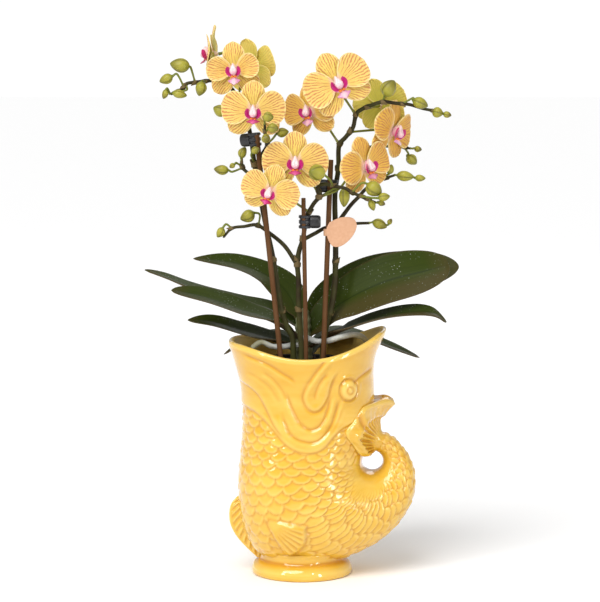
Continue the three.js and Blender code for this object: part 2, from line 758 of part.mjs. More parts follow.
// The fish's outside. Each ring of the scaled part is a row of scale tips: every second corner
// is a tip, pushed out and towards the tail, and the rows are staggered. The squares between the
// rings are split from low corner to low corner, so that each tip stands by itself.
function fishBody() {
  const angles = ringAngles(VASE.columns);
  const tip = (row, i) => ((row + i) % 2 ? -0.35 : 1);
  const scaled = (p, out, flow, row, i, amount) =>
    p
      .addScaledVector(out, VASE.scaleLift * tip(row, i) * amount)
      .addScaledVector(flow, VASE.scaleReach * tip(row, i) * amount);
  const rings = [];
  let row = 0;
  for (const share of [1, 0.9, 0.78, 0.66]) {
    rings.push(
      angles.map((a) => {
        const z = VASE.loop.z + (rimHeight(a) - VASE.loop.z) * share;
        return neckPoint(z, a, share === 1 ? 1 : 0);
      }),
    );
  }
  for (let z = 129; z > VASE.loop.z + VASE.scaleRow / 2; z -= VASE.scaleRow, row++) {
    rings.push(
      angles.map((a, i) => {
        const p = neckPoint(z, a, 0);
        const amount = smooth(-1, 4, lineHeight(GILL, p.x) - z);
        const out = new THREE.Vector3(p.x - 3, p.y, 0).normalize();
        return scaled(p, out, new THREE.Vector3(0, 0, -1), row, i, amount);
      }),
    );
  }
  let turn = 180;
  while (turn < TAIL_END) {
    const outer = along(TAIL, "at", "outer", turn);
    rings.push(
      angles.map((a, i) => {
        const p = bellyPoint(turn, a, 0);
        const rad = THREE.MathUtils.degToRad(turn);
        const reach = Math.hypot(p.x - VASE.loop.x, p.z - VASE.loop.z);
        const middle = bellyPoint(turn, Math.PI / 2, 0).setY(0);
        const out = p.clone().sub(middle).normalize();
        const flow = new THREE.Vector3(-Math.sin(rad), 0, Math.cos(rad));
        const room = smooth(12, 34, reach) * smooth(TAIL_END, TAIL_END - 30, turn);
        return scaled(p, out, flow, row, i, room * Math.min(1, outer / 60));
      }),
    );
    row++;
    turn += THREE.MathUtils.radToDeg(VASE.scaleRow / (0.62 * outer));
  }
  const end = angles.map((a) => bellyPoint(TAIL_END, a, 0));
  rings.push(end);

  // The fan: from the tail's end to the fan's edge, with rays, and on into the back of the head.
  const half = new THREE.CatmullRomCurve3(FAN_EDGE.map(vec), false, "centripetal");
  const edge = angles.map((a) => {
    const near = a > Math.PI;
    const p = half.getPointAt(near ? (2 * Math.PI - a) / Math.PI : a / Math.PI);
    return near ? p : p.setY(-p.y);
  });
  const mid = end.map((p, i) => {
    const ray = i % 2 ? 0.5 : -0.5;
    const waist = 2.6 * (1 - Math.cos(angles[i]));
    return p.clone().lerp(edge[i], 0.55).add(new THREE.Vector3(ray - waist, 0, 0));
  });
  const inward = (share) =>
    edge.map(
      (p) => new THREE.Vector3(p.x - 7 * share, p.y * (1 - 0.1 * share), p.z + (110 - p.z) * 0.08 * share),
    );
  rings.push(mid, edge, inward(1), inward(2));

  // The tail is a body of its own up to here, because its fan goes back into the head.
  const split = rings.length - 13;
  const middle = middleOf(rings[split]);
  const start = rings[split].map((p) => p.clone().lerp(middle, 0.08));
  return loft(rings.slice(0, split + 2), 0).add(loft([start, ...rings.slice(split + 2)], split + 1));
}

// The hollow of the mouth and belly, inside the wall.
function hollow() {
  const angles = ringAngles(20);
  const rings = [];
  for (const share of [1.14, 0.96, 0.75, 0.4])
    rings.push(
      angles.map((a) => {
        const z = VASE.loop.z + (rimHeight(a) - VASE.loop.z) * share;
        return neckPoint(z, a, share > 0.95 ? VASE.wall - 0.8 : VASE.wall);
      }),
    );
  for (let turn = 180; turn <= HOLLOW_END; turn += 20)
    rings.push(angles.map((a) => bellyPoint(turn, a, VASE.wall + 0.6)));
  return loft(rings);
}

function foot() {
  const profile = [
    [0, 0], [36.4, 0], [VASE.footRadius, 3], [36.4, VASE.footHeight - 1],
    [VASE.neckRadius, VASE.footHeight + 2], [VASE.neckRadius, 17], [0, 19],
  ];
  return solidOf(
    new THREE.LatheGeometry(profile.map((p) => new THREE.Vector2(...p)), 22),
    new THREE.Matrix4().makeRotationX(Math.PI / 2),
  );
}

// A ridge of the face: a rod half sunk in the surface, on the side that sign gives.
function ridge({ width, line }, sign) {
  const points = line.map(([x, z]) => [x, sign * (-nearSide(x, z) + 0.06 * width), z]);
  const taper = (t) => (width / 2) * (0.35 + 0.65 * Math.sin(Math.PI * Math.min(0.92, t + 0.08)));
  return rod(points, taper, 3);
}

function eye(sign) {
  const y = nearSide(EYE.x, EYE.z);
  const yaw = Math.atan2(EYE.x - 3, -y);
  const place = new THREE.Matrix4().makeTranslation(EYE.x, sign * -y, EYE.z);
  place.multiply(new THREE.Matrix4().makeRotationZ(sign < 0 ? yaw : -yaw));
  place.multiply(new THREE.Matrix4().makeScale(EYE.radius, EYE.height, EYE.radius * EYE.tall));
  return solidOf(new THREE.SphereGeometry(1, 9, 5), place);
}

// A flat fin with rays: a fan of rounded ribs between two edges, each given as x and z at the
// root and at the rim, sunk in the vase's side by sink and raised from it by lift.
function sideFin(sign) {
  const [top, bottom] = [
    [[-27, 49.5], [3, 43.5]],
    [[-27, 41], [-7, 21]],
  ];
  const place = (u, v) => {
    const s = (u + 1) / 2;
    const bulge = 3.2 * Math.sin(Math.PI * s) * v * v;
    const mix = (k) =>
      top[0][k] + (bottom[0][k] - top[0][k]) * s +
      v * ((top[1][k] - top[0][k]) * (1 - s) + (bottom[1][k] - bottom[0][k]) * s);
    const [x, z] = [mix(0) + bulge * 0.9, mix(1) - bulge * 0.5];
    const ray = 0.45 * Math.cos(u * 2 * Math.PI) * v;
    return new THREE.Vector3(x, sign * (-nearSide(x, z) + 0.4 + 1.2 * v + ray), z);
  };
  return blade(place, () => 4, 4, [0, 0.5, 1]);
}

function bellyFin() {
  const outline = new THREE.Shape();
  outline.moveTo(-38, 58.5);
  outline.lineTo(-46, 58.5);
  outline.quadraticCurveTo(-52.5, 52.5, -54.6, 45.5);
  outline.quadraticCurveTo(-55.2, 36, -49.7, 28);
  outline.quadraticCurveTo(-44, 20, -33, 10.5);
  outline.lineTo(-28, 24);
  outline.closePath();
  const made = new THREE.ExtrudeGeometry(outline, {
    depth: 6,
    curveSegments: 3,
    bevelEnabled: true,
    bevelThickness: 1.6,
    bevelSize: 1.2,
    bevelOffset: -1.2,
    bevelSegments: 1,
  });
  made.translate(0, 0, -3);
  return solidOf(made, new THREE.Matrix4().makeRotationX(Math.PI / 2));
}

function vase() {
  const raised = [1, -1].flatMap((sign) => [
    ...RIDGES.map((r) => ridge(r, sign)),
    eye(sign),
    sideFin(sign),
  ]);
  return mainBody(joined([fishBody(), foot(), bellyFin(), ...raised]).subtract(hollow()));
}

// ---------------------------------------------------------------- nursery pot and bark

// The lip's radius is what the neck's inside leaves at its height, so the pot hangs there.
function lipRadius(z) {
  const reach = ringAngles(48).map((a) => {
    const p = neckPoint(z, a, VASE.wall);
    return Math.hypot(p.x, p.y);
  });
  return Math.min(...reach) - FIT;
}
const LIP = { top: lipRadius(POT.lipZ), bottom: lipRadius(POT.lipZ - POT.lipHeight) };
const POT_FLOOR = POT.lipZ - POT.height;
const SOIL_TOP = POT.lipZ - POT.soilDrop;
const potTopRadius = LIP.bottom - 2.6;

function lathe(profile, sides) {
  return solidOf(
    new THREE.LatheGeometry(profile.map((p) => new THREE.Vector2(...p)), sides),
    new THREE.Matrix4().makeRotationX(Math.PI / 2),
  );
}

// Radius of the pot's inside at a height.
const potInside = (z) =>
  POT.baseRadius + ((potTopRadius - POT.baseRadius) * (z - POT_FLOOR)) / POT.height - POT.wall;

function nurseryPot() {
  const lipFoot = POT.lipZ - POT.lipHeight;
  const profile = [
    [0, POT_FLOOR], [POT.baseRadius, POT_FLOOR], [potTopRadius - 0.1, lipFoot],
    [LIP.bottom, lipFoot], [LIP.top, POT.lipZ], [potTopRadius - POT.wall, POT.lipZ],
    [potInside(POT_FLOOR + 1.5), POT_FLOOR + 1.5], [0, POT_FLOOR + 1.5],
  ];
  return lathe(profile, 20);
}

// Bark: a bed that fills the pot, with chips of bark lying on it, and plain holes for what
// stands in it.
function barkBed(holes) {
  const floor = POT_FLOOR + 1.5 + FIT;
  const bed = lathe(
    [
      [0, floor], [potInside(floor) - FIT, floor], [potInside(SOIL_TOP) - FIT, SOIL_TOP],
      [24, SOIL_TOP + 2.4], [0, SOIL_TOP + 3.4],
    ],
    20,
  );
  const roll = dice(7);
  const chips = Array.from({ length: 8 }, (_, k) => {
    const angle = k * 2.4;
    const out = 11 + 19.5 * Math.sqrt((k + 0.5) / 8);
    const height = SOIL_TOP + 2.1 + 1.6 * roll();
    const [x, y] = [out * Math.cos(angle), out * Math.sin(angle)];
    const place = new THREE.Matrix4().makeTranslation(x, y, height);
    const turned = new THREE.Euler(roll() - 0.5, roll() - 0.5, 6.28 * roll());
    place.multiply(new THREE.Matrix4().makeRotationFromEuler(turned));
    return solidOf(new THREE.BoxGeometry(8 + 5 * roll(), 5 + 3 * roll(), 3.5 + 2 * roll()), place);
  });
  return mainBody(holes.reduce((all, hole) => all.subtract(hole), joined([bed, ...chips])));
}

// ---------------------------------------------------------------- plant

const CROWN = { x: 1, y: 5, foot: 150, top: 198, radius: 6.6 };

// The short stem that the leaves clasp.
function crown(swell = 0) {
  const ring = (z, radius) => {
    const r = radius + swell;
    return ringAngles(10).map(
      (a) => new THREE.Vector3(CROWN.x + r * Math.cos(a), CROWN.y + r * Math.sin(a), z),
    );
  };
  return loft([
    ring(CROWN.foot - swell, 6), ring(165, CROWN.radius), ring(186, CROWN.radius - 0.8),
    ring(CROWN.top + swell, 3),
  ]);
}

// A leaf: a strap along its midrib, channelled along the middle, widest past half its length.
function leaf({ points, halfWidth, turn }) {
  const curve = new THREE.CatmullRomCurve3(points.map(vec), false, "centripetal");
  const outline = (v) => {
    const root = (4.6 / halfWidth) * (1 - smooth(0, 0.35, v));
    return Math.max(root, (v / 0.61) ** 0.6 * ((1 - v) / 0.39) ** 0.38);
  };
  const place = (u, v) => {
    const p = curve.getPointAt(v);
    const forward = curve.getTangentAt(v);
    const flat = new THREE.Vector3(0, 0, 1).cross(forward).normalize();
    if (flat.y < 0) flat.negate();
    const a = THREE.MathUtils.degToRad(turn[0] + (turn[1] - turn[0]) * v);
    const side = flat.applyAxisAngle(forward, forward.x < 0 ? -a : a);
    const up = side.clone().cross(forward);
    if (up.z < 0) up.negate();
    const half = halfWidth * outline(v);
    const fold = LEAF.channel * (1 + 1.2 * (1 - smooth(0, 0.4, v))) * half * Math.abs(u) ** 1.4;
    return p.addScaledVector(side, half * u).addScaledVector(up, fold);
  };
  const thick = (u) => LEAF.edge + (LEAF.thick - LEAF.edge) * (1 - u * u);
  return blade(place, thick, halfWidth > 12.5 ? 4 : 2, [0, 0.12, 0.27, 0.44, 0.62, 0.79, 0.92, 0.985]);
}

// ---------------------------------------------------------------- blooms

// Half width of a tepal at a share of its length, as a share of its widest.
const tepalOutline = (v, rise, fall) => {
  const widest = rise / (rise + fall);
  return (v / widest) ** rise * ((1 - v) / (1 - widest)) ** fall;
};

const SEPAL = {
  length: 21.5,
  half: 7.8,
  rise: 0.55,
  fall: 0.5,
  lift: -1.4,
  cup: -0.12,
  back: 1.4,
  across: 1,
  rows: [0, 0.28, 0.72, 0.98],
};
const PETAL = {
  length: 24,
  half: 12.6,
  rise: 0.8,
  fall: 0.42,
  lift: 0.3,
  cup: 0.1,
  back: 2,
  across: 2,
  rows: [0, 0.2, 0.5, 0.82, 0.98],
};
const TEPALS = [
  { kind: SEPAL, angle: 90 },
  { kind: SEPAL, angle: 218 },
  { kind: SEPAL, angle: 322 },
  { kind: PETAL, angle: 167 },
  { kind: PETAL, angle: 13 },
];
const BLOOM_CORE = { radius: 3.2, front: 1.1, back: -4.2 };

// The frame of a bloom: x to its right, y up its back sepal, z out of its face.
function bloomFrame({ at, face, roll, size }) {
  const z = vec(face).normalize();
  const up = new THREE.Vector3(0, 0, 1).projectOnPlane(z).normalize();
  const y = up.applyAxisAngle(z, THREE.MathUtils.degToRad(roll));
  const x = y.clone().cross(z);
  return new THREE.Matrix4().makeBasis(x, y, z).scale(vec([size, size, size])).setPosition(...at);
}

function tepal({ kind, angle }, frame) {
  const a = THREE.MathUtils.degToRad(angle);
  const out = new THREE.Vector3(Math.cos(a), Math.sin(a), 0);
  const side = new THREE.Vector3(-Math.sin(a), Math.cos(a), 0);
  const place = (u, v) => {
    const half = Math.max(1, kind.half * tepalOutline(Math.min(0.998, v), kind.rise, kind.fall));
    const height = kind.lift + 2 * Math.sin(Math.PI * v * 0.8) - kind.back * v * v;
    return out
      .clone()
      .multiplyScalar(1.6 + (kind.length - 1) * (v - 0.03 * u * u * v))
      .addScaledVector(side, half * u)
      .setZ(height + kind.cup * half * u * u)
      .applyMatrix4(frame);
  };
  return blade(place, () => PETAL_THICK, kind.across, kind.rows);
}

function bloomTepals(bloom) {
  const frame = bloomFrame(bloom);
  const ring = (z, r) =>
    ringAngles(5).map((a) => new THREE.Vector3(r * Math.cos(a), r * Math.sin(a), z).applyMatrix4(frame));
  const core = loft([ring(BLOOM_CORE.back, 1.3), ring(BLOOM_CORE.front, BLOOM_CORE.radius)]);
  return joined([core, ...TEPALS.map((t) => tepal(t, frame))]);
}

// The lip and column: a hooded column, two side lobes that stand up beside it, and a tongue.
function bloomLip(bloom) {
  const frame = bloomFrame(bloom);
  const placed = (x, y, z) => new THREE.Vector3(x, y, z).applyMatrix4(frame);
  const ring = (y, z, rx, ry) =>
    ringAngles(5).map((a) => placed(rx * Math.cos(a), y + ry * Math.sin(a), z));
  const base = BLOOM_CORE.front + FIT + 0.3;
  const column = loft([ring(-0.6, base, 2.3, 2.6), ring(0.1, 6, 2.3, 2.3), ring(-0.4, 9.6, 1.7, 1.5)]);
  const lobe = (sign) =>
    blade(
      (u, v) =>
        placed(sign * (1.7 + 4.9 * v ** 0.7 - 0.6 * u * u), -2.6 + 5.2 * v, 5.4 + 2.5 * u * (0.2 + 0.8 * v)),
      () => PETAL_THICK,
      1,
      [0, 1],
    );
  const tongue = blade(
    (u, v) => {
      const half = 2.2 + 1.8 * Math.sin(Math.PI * v) - 1.4 * v;
      return placed(half * u, -1.6 - 7.4 * v ** 0.9, 3.9 + 5 * v - 0.9 * u * u);
    },
    () => 1.1,
    2,
    [0, 0.5, 1],
  );
  return joined([column, lobe(1), lobe(-1), tongue]);
}

// ---------------------------------------------------------------- spikes

const taper = ([from, to]) => (t) => from + (to - from) * t ** 1.7;

// A bud on its stalk: one rod that swells from the stalk into the bud.
function bud({ from, knee, at, size: [length, radius], to }) {
  const axis = vec(to).normalize();
  const on = (share) => vec(at).addScaledVector(axis, (share * length) / 2);
  const points = [vec(from), vec(knee), on(-0.95), on(0), on(0.95)];
  const radii = [0.85, 0.85, 0.4 * radius, 1.05 * radius, 0.34 * radius];
  return rod(points, (t) => radii[Math.round(t * 4)], 5);
}

// The stalk of a bloom: from the spike, by any points on its way, to just behind the bloom's
// back, which it meets square.
function bloomStalk([index, ...route]) {
  const bloom = BLOOMS[index];
  const frame = bloomFrame(bloom);
  const behind = (z) => new THREE.Vector3(0, 0, z).applyMatrix4(frame).toArray();
  const end = BLOOM_CORE.back - FIT / bloom.size;
  return rod([...route, behind(end - 6), behind(end)], () => 0.95, 4);
}

function spike({ branches, buds, carries }) {
  const limbs = branches.map((b, i) => rod(b.points, taper(b.radius), i ? 4 : 5));
  return joined([...limbs, ...buds.map(bud), ...carries.map(bloomStalk)]);
}

// ---------------------------------------------------------------- sticks, clips, roots, tag

const stick = ({ radius, foot: low, top }, extra = 0) => rod([low, top], () => radius + extra, 8, 1);

// A ribbed grip round a stick and a stem, with a round tab to press it open. The holes are for
// the stick and the stem.
function clip({ at, tilt, tab }, holes) {
  const profile = [[0, -4.8], [4.5, -4.8], [3.8, 0], [4.5, 4.8], [0, 4.8]];
  const place = new THREE.Matrix4()
    .makeTranslation(...at)
    .multiply(new THREE.Matrix4().makeRotationY(THREE.MathUtils.degToRad(-tilt)));
  const upright = new THREE.Matrix4().makeRotationX(Math.PI / 2);
  const barrel = solidOf(
    new THREE.LatheGeometry(profile.map((p) => new THREE.Vector2(...p)), 8),
    place.clone().multiply(upright),
  );
  const press = solidOf(
    new THREE.CylinderGeometry(5, 5, 2.6, 9),
    place.clone().multiply(new THREE.Matrix4().makeTranslation(6.6 * tab[0], 6.6 * tab[1], 0)),
  );
  return mainBody(holes.reduce((all, hole) => all.subtract(hole), barrel.add(press)));
}

const airRoot = ({ points, radius }) => rod(points, (t) => radius * (t > 0.97 ? 0.7 : 1), 6, 8);

// The care tag: a card fixed on a collar round the stick. Nothing is printed on it.
function tag(stickHole) {
  const marks = TAG.outline.map(([x, z]) => new THREE.Vector3(x, z, 0));
  const points = new THREE.CatmullRomCurve3(marks, true).getPoints(18).slice(0, -1);
  const outline = new THREE.Shape(points.map((p) => new THREE.Vector2(p.x, p.y)));
  const upright = new THREE.Matrix4().makeRotationX(Math.PI / 2);
  const [x, y, z] = TAG.at;
  const card = solidOf(
    new THREE.ExtrudeGeometry(outline, { depth: TAG.thick, bevelEnabled: false }),
    new THREE.Matrix4().makeTranslation(x, y + TAG.thick, z).multiply(upright),
  );
  const { foot: low, top } = STICKS[2];
  const share = (z - low[2]) / (top[2] - low[2]);
  const on = (k) => low[k] + share * (top[k] - low[k]);
  const { radius, height } = TAG.collar;
  const collar = solidOf(
    new THREE.CylinderGeometry(radius, radius, height, 10),
    new THREE.Matrix4().makeTranslation(on(0), on(1), z).multiply(upright),
  );
  return mainBody(card.add(collar).subtract(stickHole));
}

// ---------------------------------------------------------------- the whole

const pottedOrchid = new THREE.Group();
const add = (name, made, material) => pottedOrchid.add(meshOf(name, made, material));

// The points with the first one moved down, for the hole that a rod stands in.
const deeper = ([first, ...rest]) => [[first[0], first[1], first[2] - 1.5], ...rest];
const swollenSpikes = SPIKES.map(({ branches: [main] }) =>
  rod(deeper(main.points), (t) => taper(main.radius)(t) + FIT, 5),
);
const swollenSticks = STICKS.map((s) => stick({ ...s, foot: deeper([s.foot])[0] }, FIT));
const CROWN_HOLE = { radius: CROWN.radius + FIT + 0.3, height: 60 };
const crownHole = solidOf(
  new THREE.CylinderGeometry(CROWN_HOLE.radius, CROWN_HOLE.radius, CROWN_HOLE.height, 14),
  new THREE.Matrix4()
    .makeTranslation(CROWN.x, CROWN.y, CROWN.foot - FIT + CROWN_HOLE.height / 2)
    .multiply(new THREE.Matrix4().makeRotationX(Math.PI / 2)),
);

add("vase", vase(), glaze);
add("nursery_pot", nurseryPot(), potPlastic);
add("bark", barkBed([...swollenSpikes, ...swollenSticks, crownHole]), bark);
add("crown", crown(), leafSkin);
LEAVES.forEach((l) => add(l.name, mainBody(leaf(l).subtract(crown(FIT))), leafSkin));
ROOTS.forEach((r) => add(r.name, airRoot(r), rootSkin));
SPIKES.forEach((s) => add(s.name, spike(s), stemSkin));
STICKS.forEach((s) => add(s.name, stick(s), bamboo));
CLIPS.forEach((c, i) => add(c.name, clip(c, [swollenSpikes[i], swollenSticks[i]]), clipPlastic));
BLOOMS.forEach((b, i) => {
  add(`bloom_${i + 1}_tepals`, bloomTepals(b), tepalSkin);
  add(`bloom_${i + 1}_lip`, bloomLip(b), lipSkin);
});
add("tag", tag(swollenSticks[2]), tagCard);

export default pottedOrchid;
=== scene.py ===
import math

import bpy
import numpy as np
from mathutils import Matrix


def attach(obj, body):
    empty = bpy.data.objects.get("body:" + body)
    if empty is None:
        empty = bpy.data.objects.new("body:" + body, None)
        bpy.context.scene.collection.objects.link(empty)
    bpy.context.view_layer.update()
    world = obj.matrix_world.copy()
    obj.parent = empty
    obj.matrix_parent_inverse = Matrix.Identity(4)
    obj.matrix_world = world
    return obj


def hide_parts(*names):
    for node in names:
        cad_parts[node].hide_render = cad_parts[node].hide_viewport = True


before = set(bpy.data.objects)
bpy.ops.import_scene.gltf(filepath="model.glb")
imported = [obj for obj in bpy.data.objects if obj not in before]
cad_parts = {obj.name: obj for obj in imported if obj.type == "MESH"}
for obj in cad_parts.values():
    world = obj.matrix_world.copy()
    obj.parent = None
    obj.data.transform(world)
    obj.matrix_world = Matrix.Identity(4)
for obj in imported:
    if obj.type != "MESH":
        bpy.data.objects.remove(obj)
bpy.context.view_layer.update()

# ---------------------------------------------------------------- view, floor and light
# A tabletop studio: the camera stands level with the flowers and looks a little down. The floor
# is a wide pale sheet. A broad soft key comes from the upper left, tall soft boxes and two small
# ones draw the highlights, and the white surroundings fill the shadows and stand behind it all.

AIM = (-0.0015, 0.0, 0.20407)
CAMERA_TILT = math.radians(6.5)
CAMERA_DISTANCE = 1.8
LENS = 145.45

camera_data = bpy.data.cameras.new("camera")
camera_data.lens = LENS
camera_data.sensor_width = 36
camera = bpy.data.objects.new("camera", camera_data)
camera.location = (
    AIM[0],
    AIM[1] - CAMERA_DISTANCE * math.cos(CAMERA_TILT),
    AIM[2] + CAMERA_DISTANCE * math.sin(CAMERA_TILT),
)
camera.rotation_euler = (math.pi / 2 - CAMERA_TILT, 0, 0)
bpy.context.collection.objects.link(camera)
bpy.context.scene.camera = camera


def link_mesh(name, points, faces, material, smooth=True):
    """A mesh object at the origin from points in metres and lists of the faces' corners."""
    mesh = bpy.data.meshes.new(name)
    mesh.from_pydata(points.tolist(), [], faces)
    mesh.materials.append(material)
    if smooth:
        mesh.shade_smooth()
    else:
        mesh.shade_flat()
    piece = bpy.data.objects.new(name, mesh)
    bpy.context.collection.objects.link(piece)
    return piece


def new_material(name, color, roughness):
    """A material with one Principled shader; gives the material, its nodes, links and shader."""
    material = bpy.data.materials.new(name)
    material.use_nodes = True
    tree = material.node_tree
    shader = tree.nodes["Principled BSDF"]
    shader.inputs["Base Color"].default_value = (*color, 1)
    shader.inputs["Roughness"].default_value = roughness
    return material, tree.nodes, tree.links, shader


FLOOR_HALF = 12.0
floor_points = np.array([[-1, -1, 0], [1, -1, 0], [1, 1, 0], [-1, 1, 0]]) * FLOOR_HALF
floor_material = new_material("floor_paper", (0.99, 0.99, 0.99), 0.9)[0]
link_mesh("floor", floor_points, [[0, 1, 2, 3]], floor_material)


def add_lamp(name, kind, power, ahead):
    """A lamp that shines along a direction: tilted from straight down by the angle whose tangent
    is level over drop, and turned about z to face it."""
    light = bpy.data.lights.new(name, kind)
    light.energy = power
    lamp = bpy.data.objects.new(name, light)
    tilt = math.atan2(math.hypot(ahead[0], ahead[1]), -ahead[2])
    lamp.rotation_euler = (tilt, 0, math.atan2(-ahead[0], ahead[1]))
    bpy.context.collection.objects.link(lamp)
    return lamp, light


SOFT_BOXES = [
    # name, place, width, height, power
    ("left_box", (-1.5, -1.5, 1.0), 0.3, 0.9, 8),
    ("right_box", (1.5, -1.7, 0.4), 0.3, 0.8, 9),
    ("ceiling", (0, -0.3, 2.1), 1.2, 1.2, 2),
    ("back_box", (0.6, 1.9, 1.3), 1.0, 1.0, 5),
    ("left_glint", (-0.75, -1.35, 1.05), 0.13, 0.24, 2.4),
    ("right_glint", (0.7, -1.45, 0.85), 0.13, 0.24, 2.6),
]
for name, place, width, height, power in SOFT_BOXES:
    lamp, light = add_lamp(name, "AREA", power, np.array(AIM) - np.array(place))
    light.shape = "RECTANGLE"
    light.size = width
    light.size_y = height
    lamp.location = place
    lamp.visible_diffuse = not name.endswith("glint")

KEY_AHEAD, KEY_POWER, KEY_SPREAD = (0.3, 0.6, -0.75), 2.35, math.radians(40)
key_light = add_lamp("key", "SUN", KEY_POWER, KEY_AHEAD)[1]
key_light.angle = KEY_SPREAD

EXPOSURE, WHITE_BEHIND, WHITE_FILL = -0.15, 1.15, 0.58
bpy.context.scene.view_settings.view_transform = "Standard"
bpy.context.scene.view_settings.exposure = EXPOSURE
world = bpy.data.worlds.new("studio")
world.use_nodes = True
surround = world.node_tree.nodes["Background"]
surround.inputs["Color"].default_value = (1, 1, 1, 1)
seen = world.node_tree.nodes.new("ShaderNodeLightPath")
level = world.node_tree.nodes.new("ShaderNodeMapRange")
level.inputs["To Min"].default_value = WHITE_FILL
level.inputs["To Max"].default_value = WHITE_BEHIND
world.node_tree.links.new(seen.outputs["Is Camera Ray"], level.inputs["Value"])
world.node_tree.links.new(level.outputs["Result"], surround.inputs["Strength"])
bpy.context.scene.world = world

# ---------------------------------------------------------------- vase
# A stoneware pouring vase in the form of a fish that stands on its belly: its mouth is the rim
# and its tail comes round as the handle. It is cast in one with its foot and fins, carved with
# scales, and dipped in a clear amber glaze that is darker where it pools in the carving, with
# painted shade there too, and paler on ridges and rims, partly as painted highlights.

MM = 0.001
WALL = 4.5
LOOP_X, LOOP_Z, LOOP_RADIUS = 52.5, 84.8, 7.6
RIM_FRONT, LOWER_LIP, UPPER_LIP = 166.8, 9, 18
BOXINESS = 0.88
COLUMNS = 300
# Rows of points on each stretch of the skin, in its order.
INNER_BELLY_ROWS, INNER_NECK_ROWS, LIP_ROWS, OUTER_NECK_ROWS = 8, 9, 9, 103
TAIL_ROWS, FAN_ROWS = 204, 36

# By height: x of the belly side, x of the back side, half depth.
NECK = [
    (84.8, -46.2, 44.9, 43), (100, -44.9, 47.9, 42.5), (115, -44.2, 51.1, 42.5),
    (130, -44.4, 53.6, 43), (142, -45.8, 53.6, 44.5), (153, -48.6, 53.4, 46.8),
    (165, -51.9, 55.1, 49.3), (176, -55, 59.6, 51), (186, -56.6, 63.6, 52),
]
# By angle round the tail loop's centre: outer radius, half depth.
TAIL = [
    (180, 98.7, 43), (195, 103.1, 43.5), (208, 108.2, 43.5), (219, 109.3, 42.5), (232, 97.8, 40),
    (245, 84.3, 36), (258, 72.3, 32), (270, 63.6, 28), (283, 55.8, 24.5), (298, 48.4, 21),
    (313, 42.8, 18.5), (330, 36.8, 16), (348, 31.7, 13.8), (370, 26.6, 12), (398, 23.4, 10.8),
    (430, 22.4, 10.5),
]
TAIL_START, TAIL_END, HOLLOW_END = 180, 430, 300
# The tail fan's edge on the near side, from the loop's top to the outer tip.
FAN_EDGE = [
    (51, 0, 93.5), (47.5, -15, 92), (43, -25.5, 95), (37.8, -31.5, 103), (32.9, -35.6, 111.5),
    (38.5, -33, 118.5), (43, -30.5, 125), (46.5, -27, 128.3), (54, -17, 129.8), (62, -7, 130.8),
    (67.3, 0, 129),
]


def smooth_step(low, high, x):
    """0 below low, 1 above high, and 3t^2 - 2t^3 of the share t of the way between."""
    t = np.clip((x - low) / (high - low), 0, 1)
    return t * t * (3 - 2 * t)


def bell(x, middle, width):
    """A bell curve that is 1 at its middle: e to the power of -((x - middle) / width)^2."""
    return np.exp(-(((x - middle) / width) ** 2))


def full_turn(count):
    """Evenly spaced angles once round, in radians."""
    return np.linspace(0, 2 * np.pi, count, endpoint=False)


def unit(vectors):
    """Vectors divided by their lengths."""
    return vectors / np.maximum(np.linalg.norm(vectors, axis=-1, keepdims=True), 1e-12)


def through_rows(rows, at):
    """A table's columns at each place: a cubic between rows, whose slope at a row is that of the
    line between its two neighbours."""
    rows = np.array(rows, float)
    key, values = rows[:, 0], rows[:, 1:]
    last = len(key) - 1
    at = np.clip(np.asarray(at, float), key[0], key[-1])
    i = np.clip(np.searchsorted(key, at) - 1, 0, last - 1)
    before = np.maximum(np.arange(last + 1) - 1, 0)
    after = np.minimum(np.arange(last + 1) + 1, last)
    slope = (values[after] - values[before]) / (key[after] - key[before])[:, None]
    step = (key[i + 1] - key[i])[..., None]
    t = ((at - key[i]) / (key[i + 1] - key[i]))[..., None]
    return (
        (2 * t**3 - 3 * t**2 + 1) * values[i]
        + (t**3 - 2 * t**2 + t) * step * slope[i]
        + (3 * t**2 - 2 * t**3) * values[i + 1]
        + (t**3 - t**2) * step * slope[i + 1]
    )


def curve_through(points, share):
    """Points at each share of the length of a smooth curve: a cubic by chord length through the
    given points."""
    points = np.array(points, float)
    chord = np.sqrt(np.linalg.norm(np.diff(points, axis=0), axis=1))
    rows = np.column_stack([np.r_[0, np.cumsum(chord)], points])
    fine = through_rows(rows, np.linspace(0, rows[-1, 0], 40 * len(points)))
    length = np.r_[0, np.cumsum(np.linalg.norm(np.diff(fine, axis=0), axis=1))]
    want = np.asarray(share, float) * length[-1]
    return np.stack([np.interp(want, length, fine[:, k]) for k in range(points.shape[1])], -1)


def points_of(x, y, z):
    """Points from their coordinates, each a number or an array, spread over one grid."""
    return np.stack(np.broadcast_arrays(x, y, z), -1)


def round_wave(wave, power=BOXINESS):
    """A sine or cosine raised to a power, with its sign kept."""
    return np.sign(wave) * np.abs(wave) ** power


def neck_ring(z, angle, inset):
    """A point of the neck, a boxy ellipse, at each height and angle, drawn in by inset."""
    left, right, depth = np.moveaxis(through_rows(NECK, z), -1, 0)
    half = (right - left) / 2 - inset
    x = (left + right) / 2 + half * round_wave(np.cos(angle))
    y = (depth - inset) * round_wave(np.sin(angle))
    return points_of(x, y, z)


def belly_ring(turn, angle, inset):
    """A point of the belly or tail: the same boxy ellipse on a plane that turns about the loop."""
    outer, depth = np.moveaxis(through_rows(TAIL, turn), -1, 0)
    outer, inner = outer - inset, LOOP_RADIUS + inset
    out = (outer + inner) / 2 - (outer - inner) / 2 * round_wave(np.cos(angle))
    x = LOOP_X + out * np.cos(np.radians(turn))
    y = (depth - inset) * round_wave(np.sin(angle))
    z = LOOP_Z + out * np.sin(np.radians(turn))
    return points_of(x, y, z)


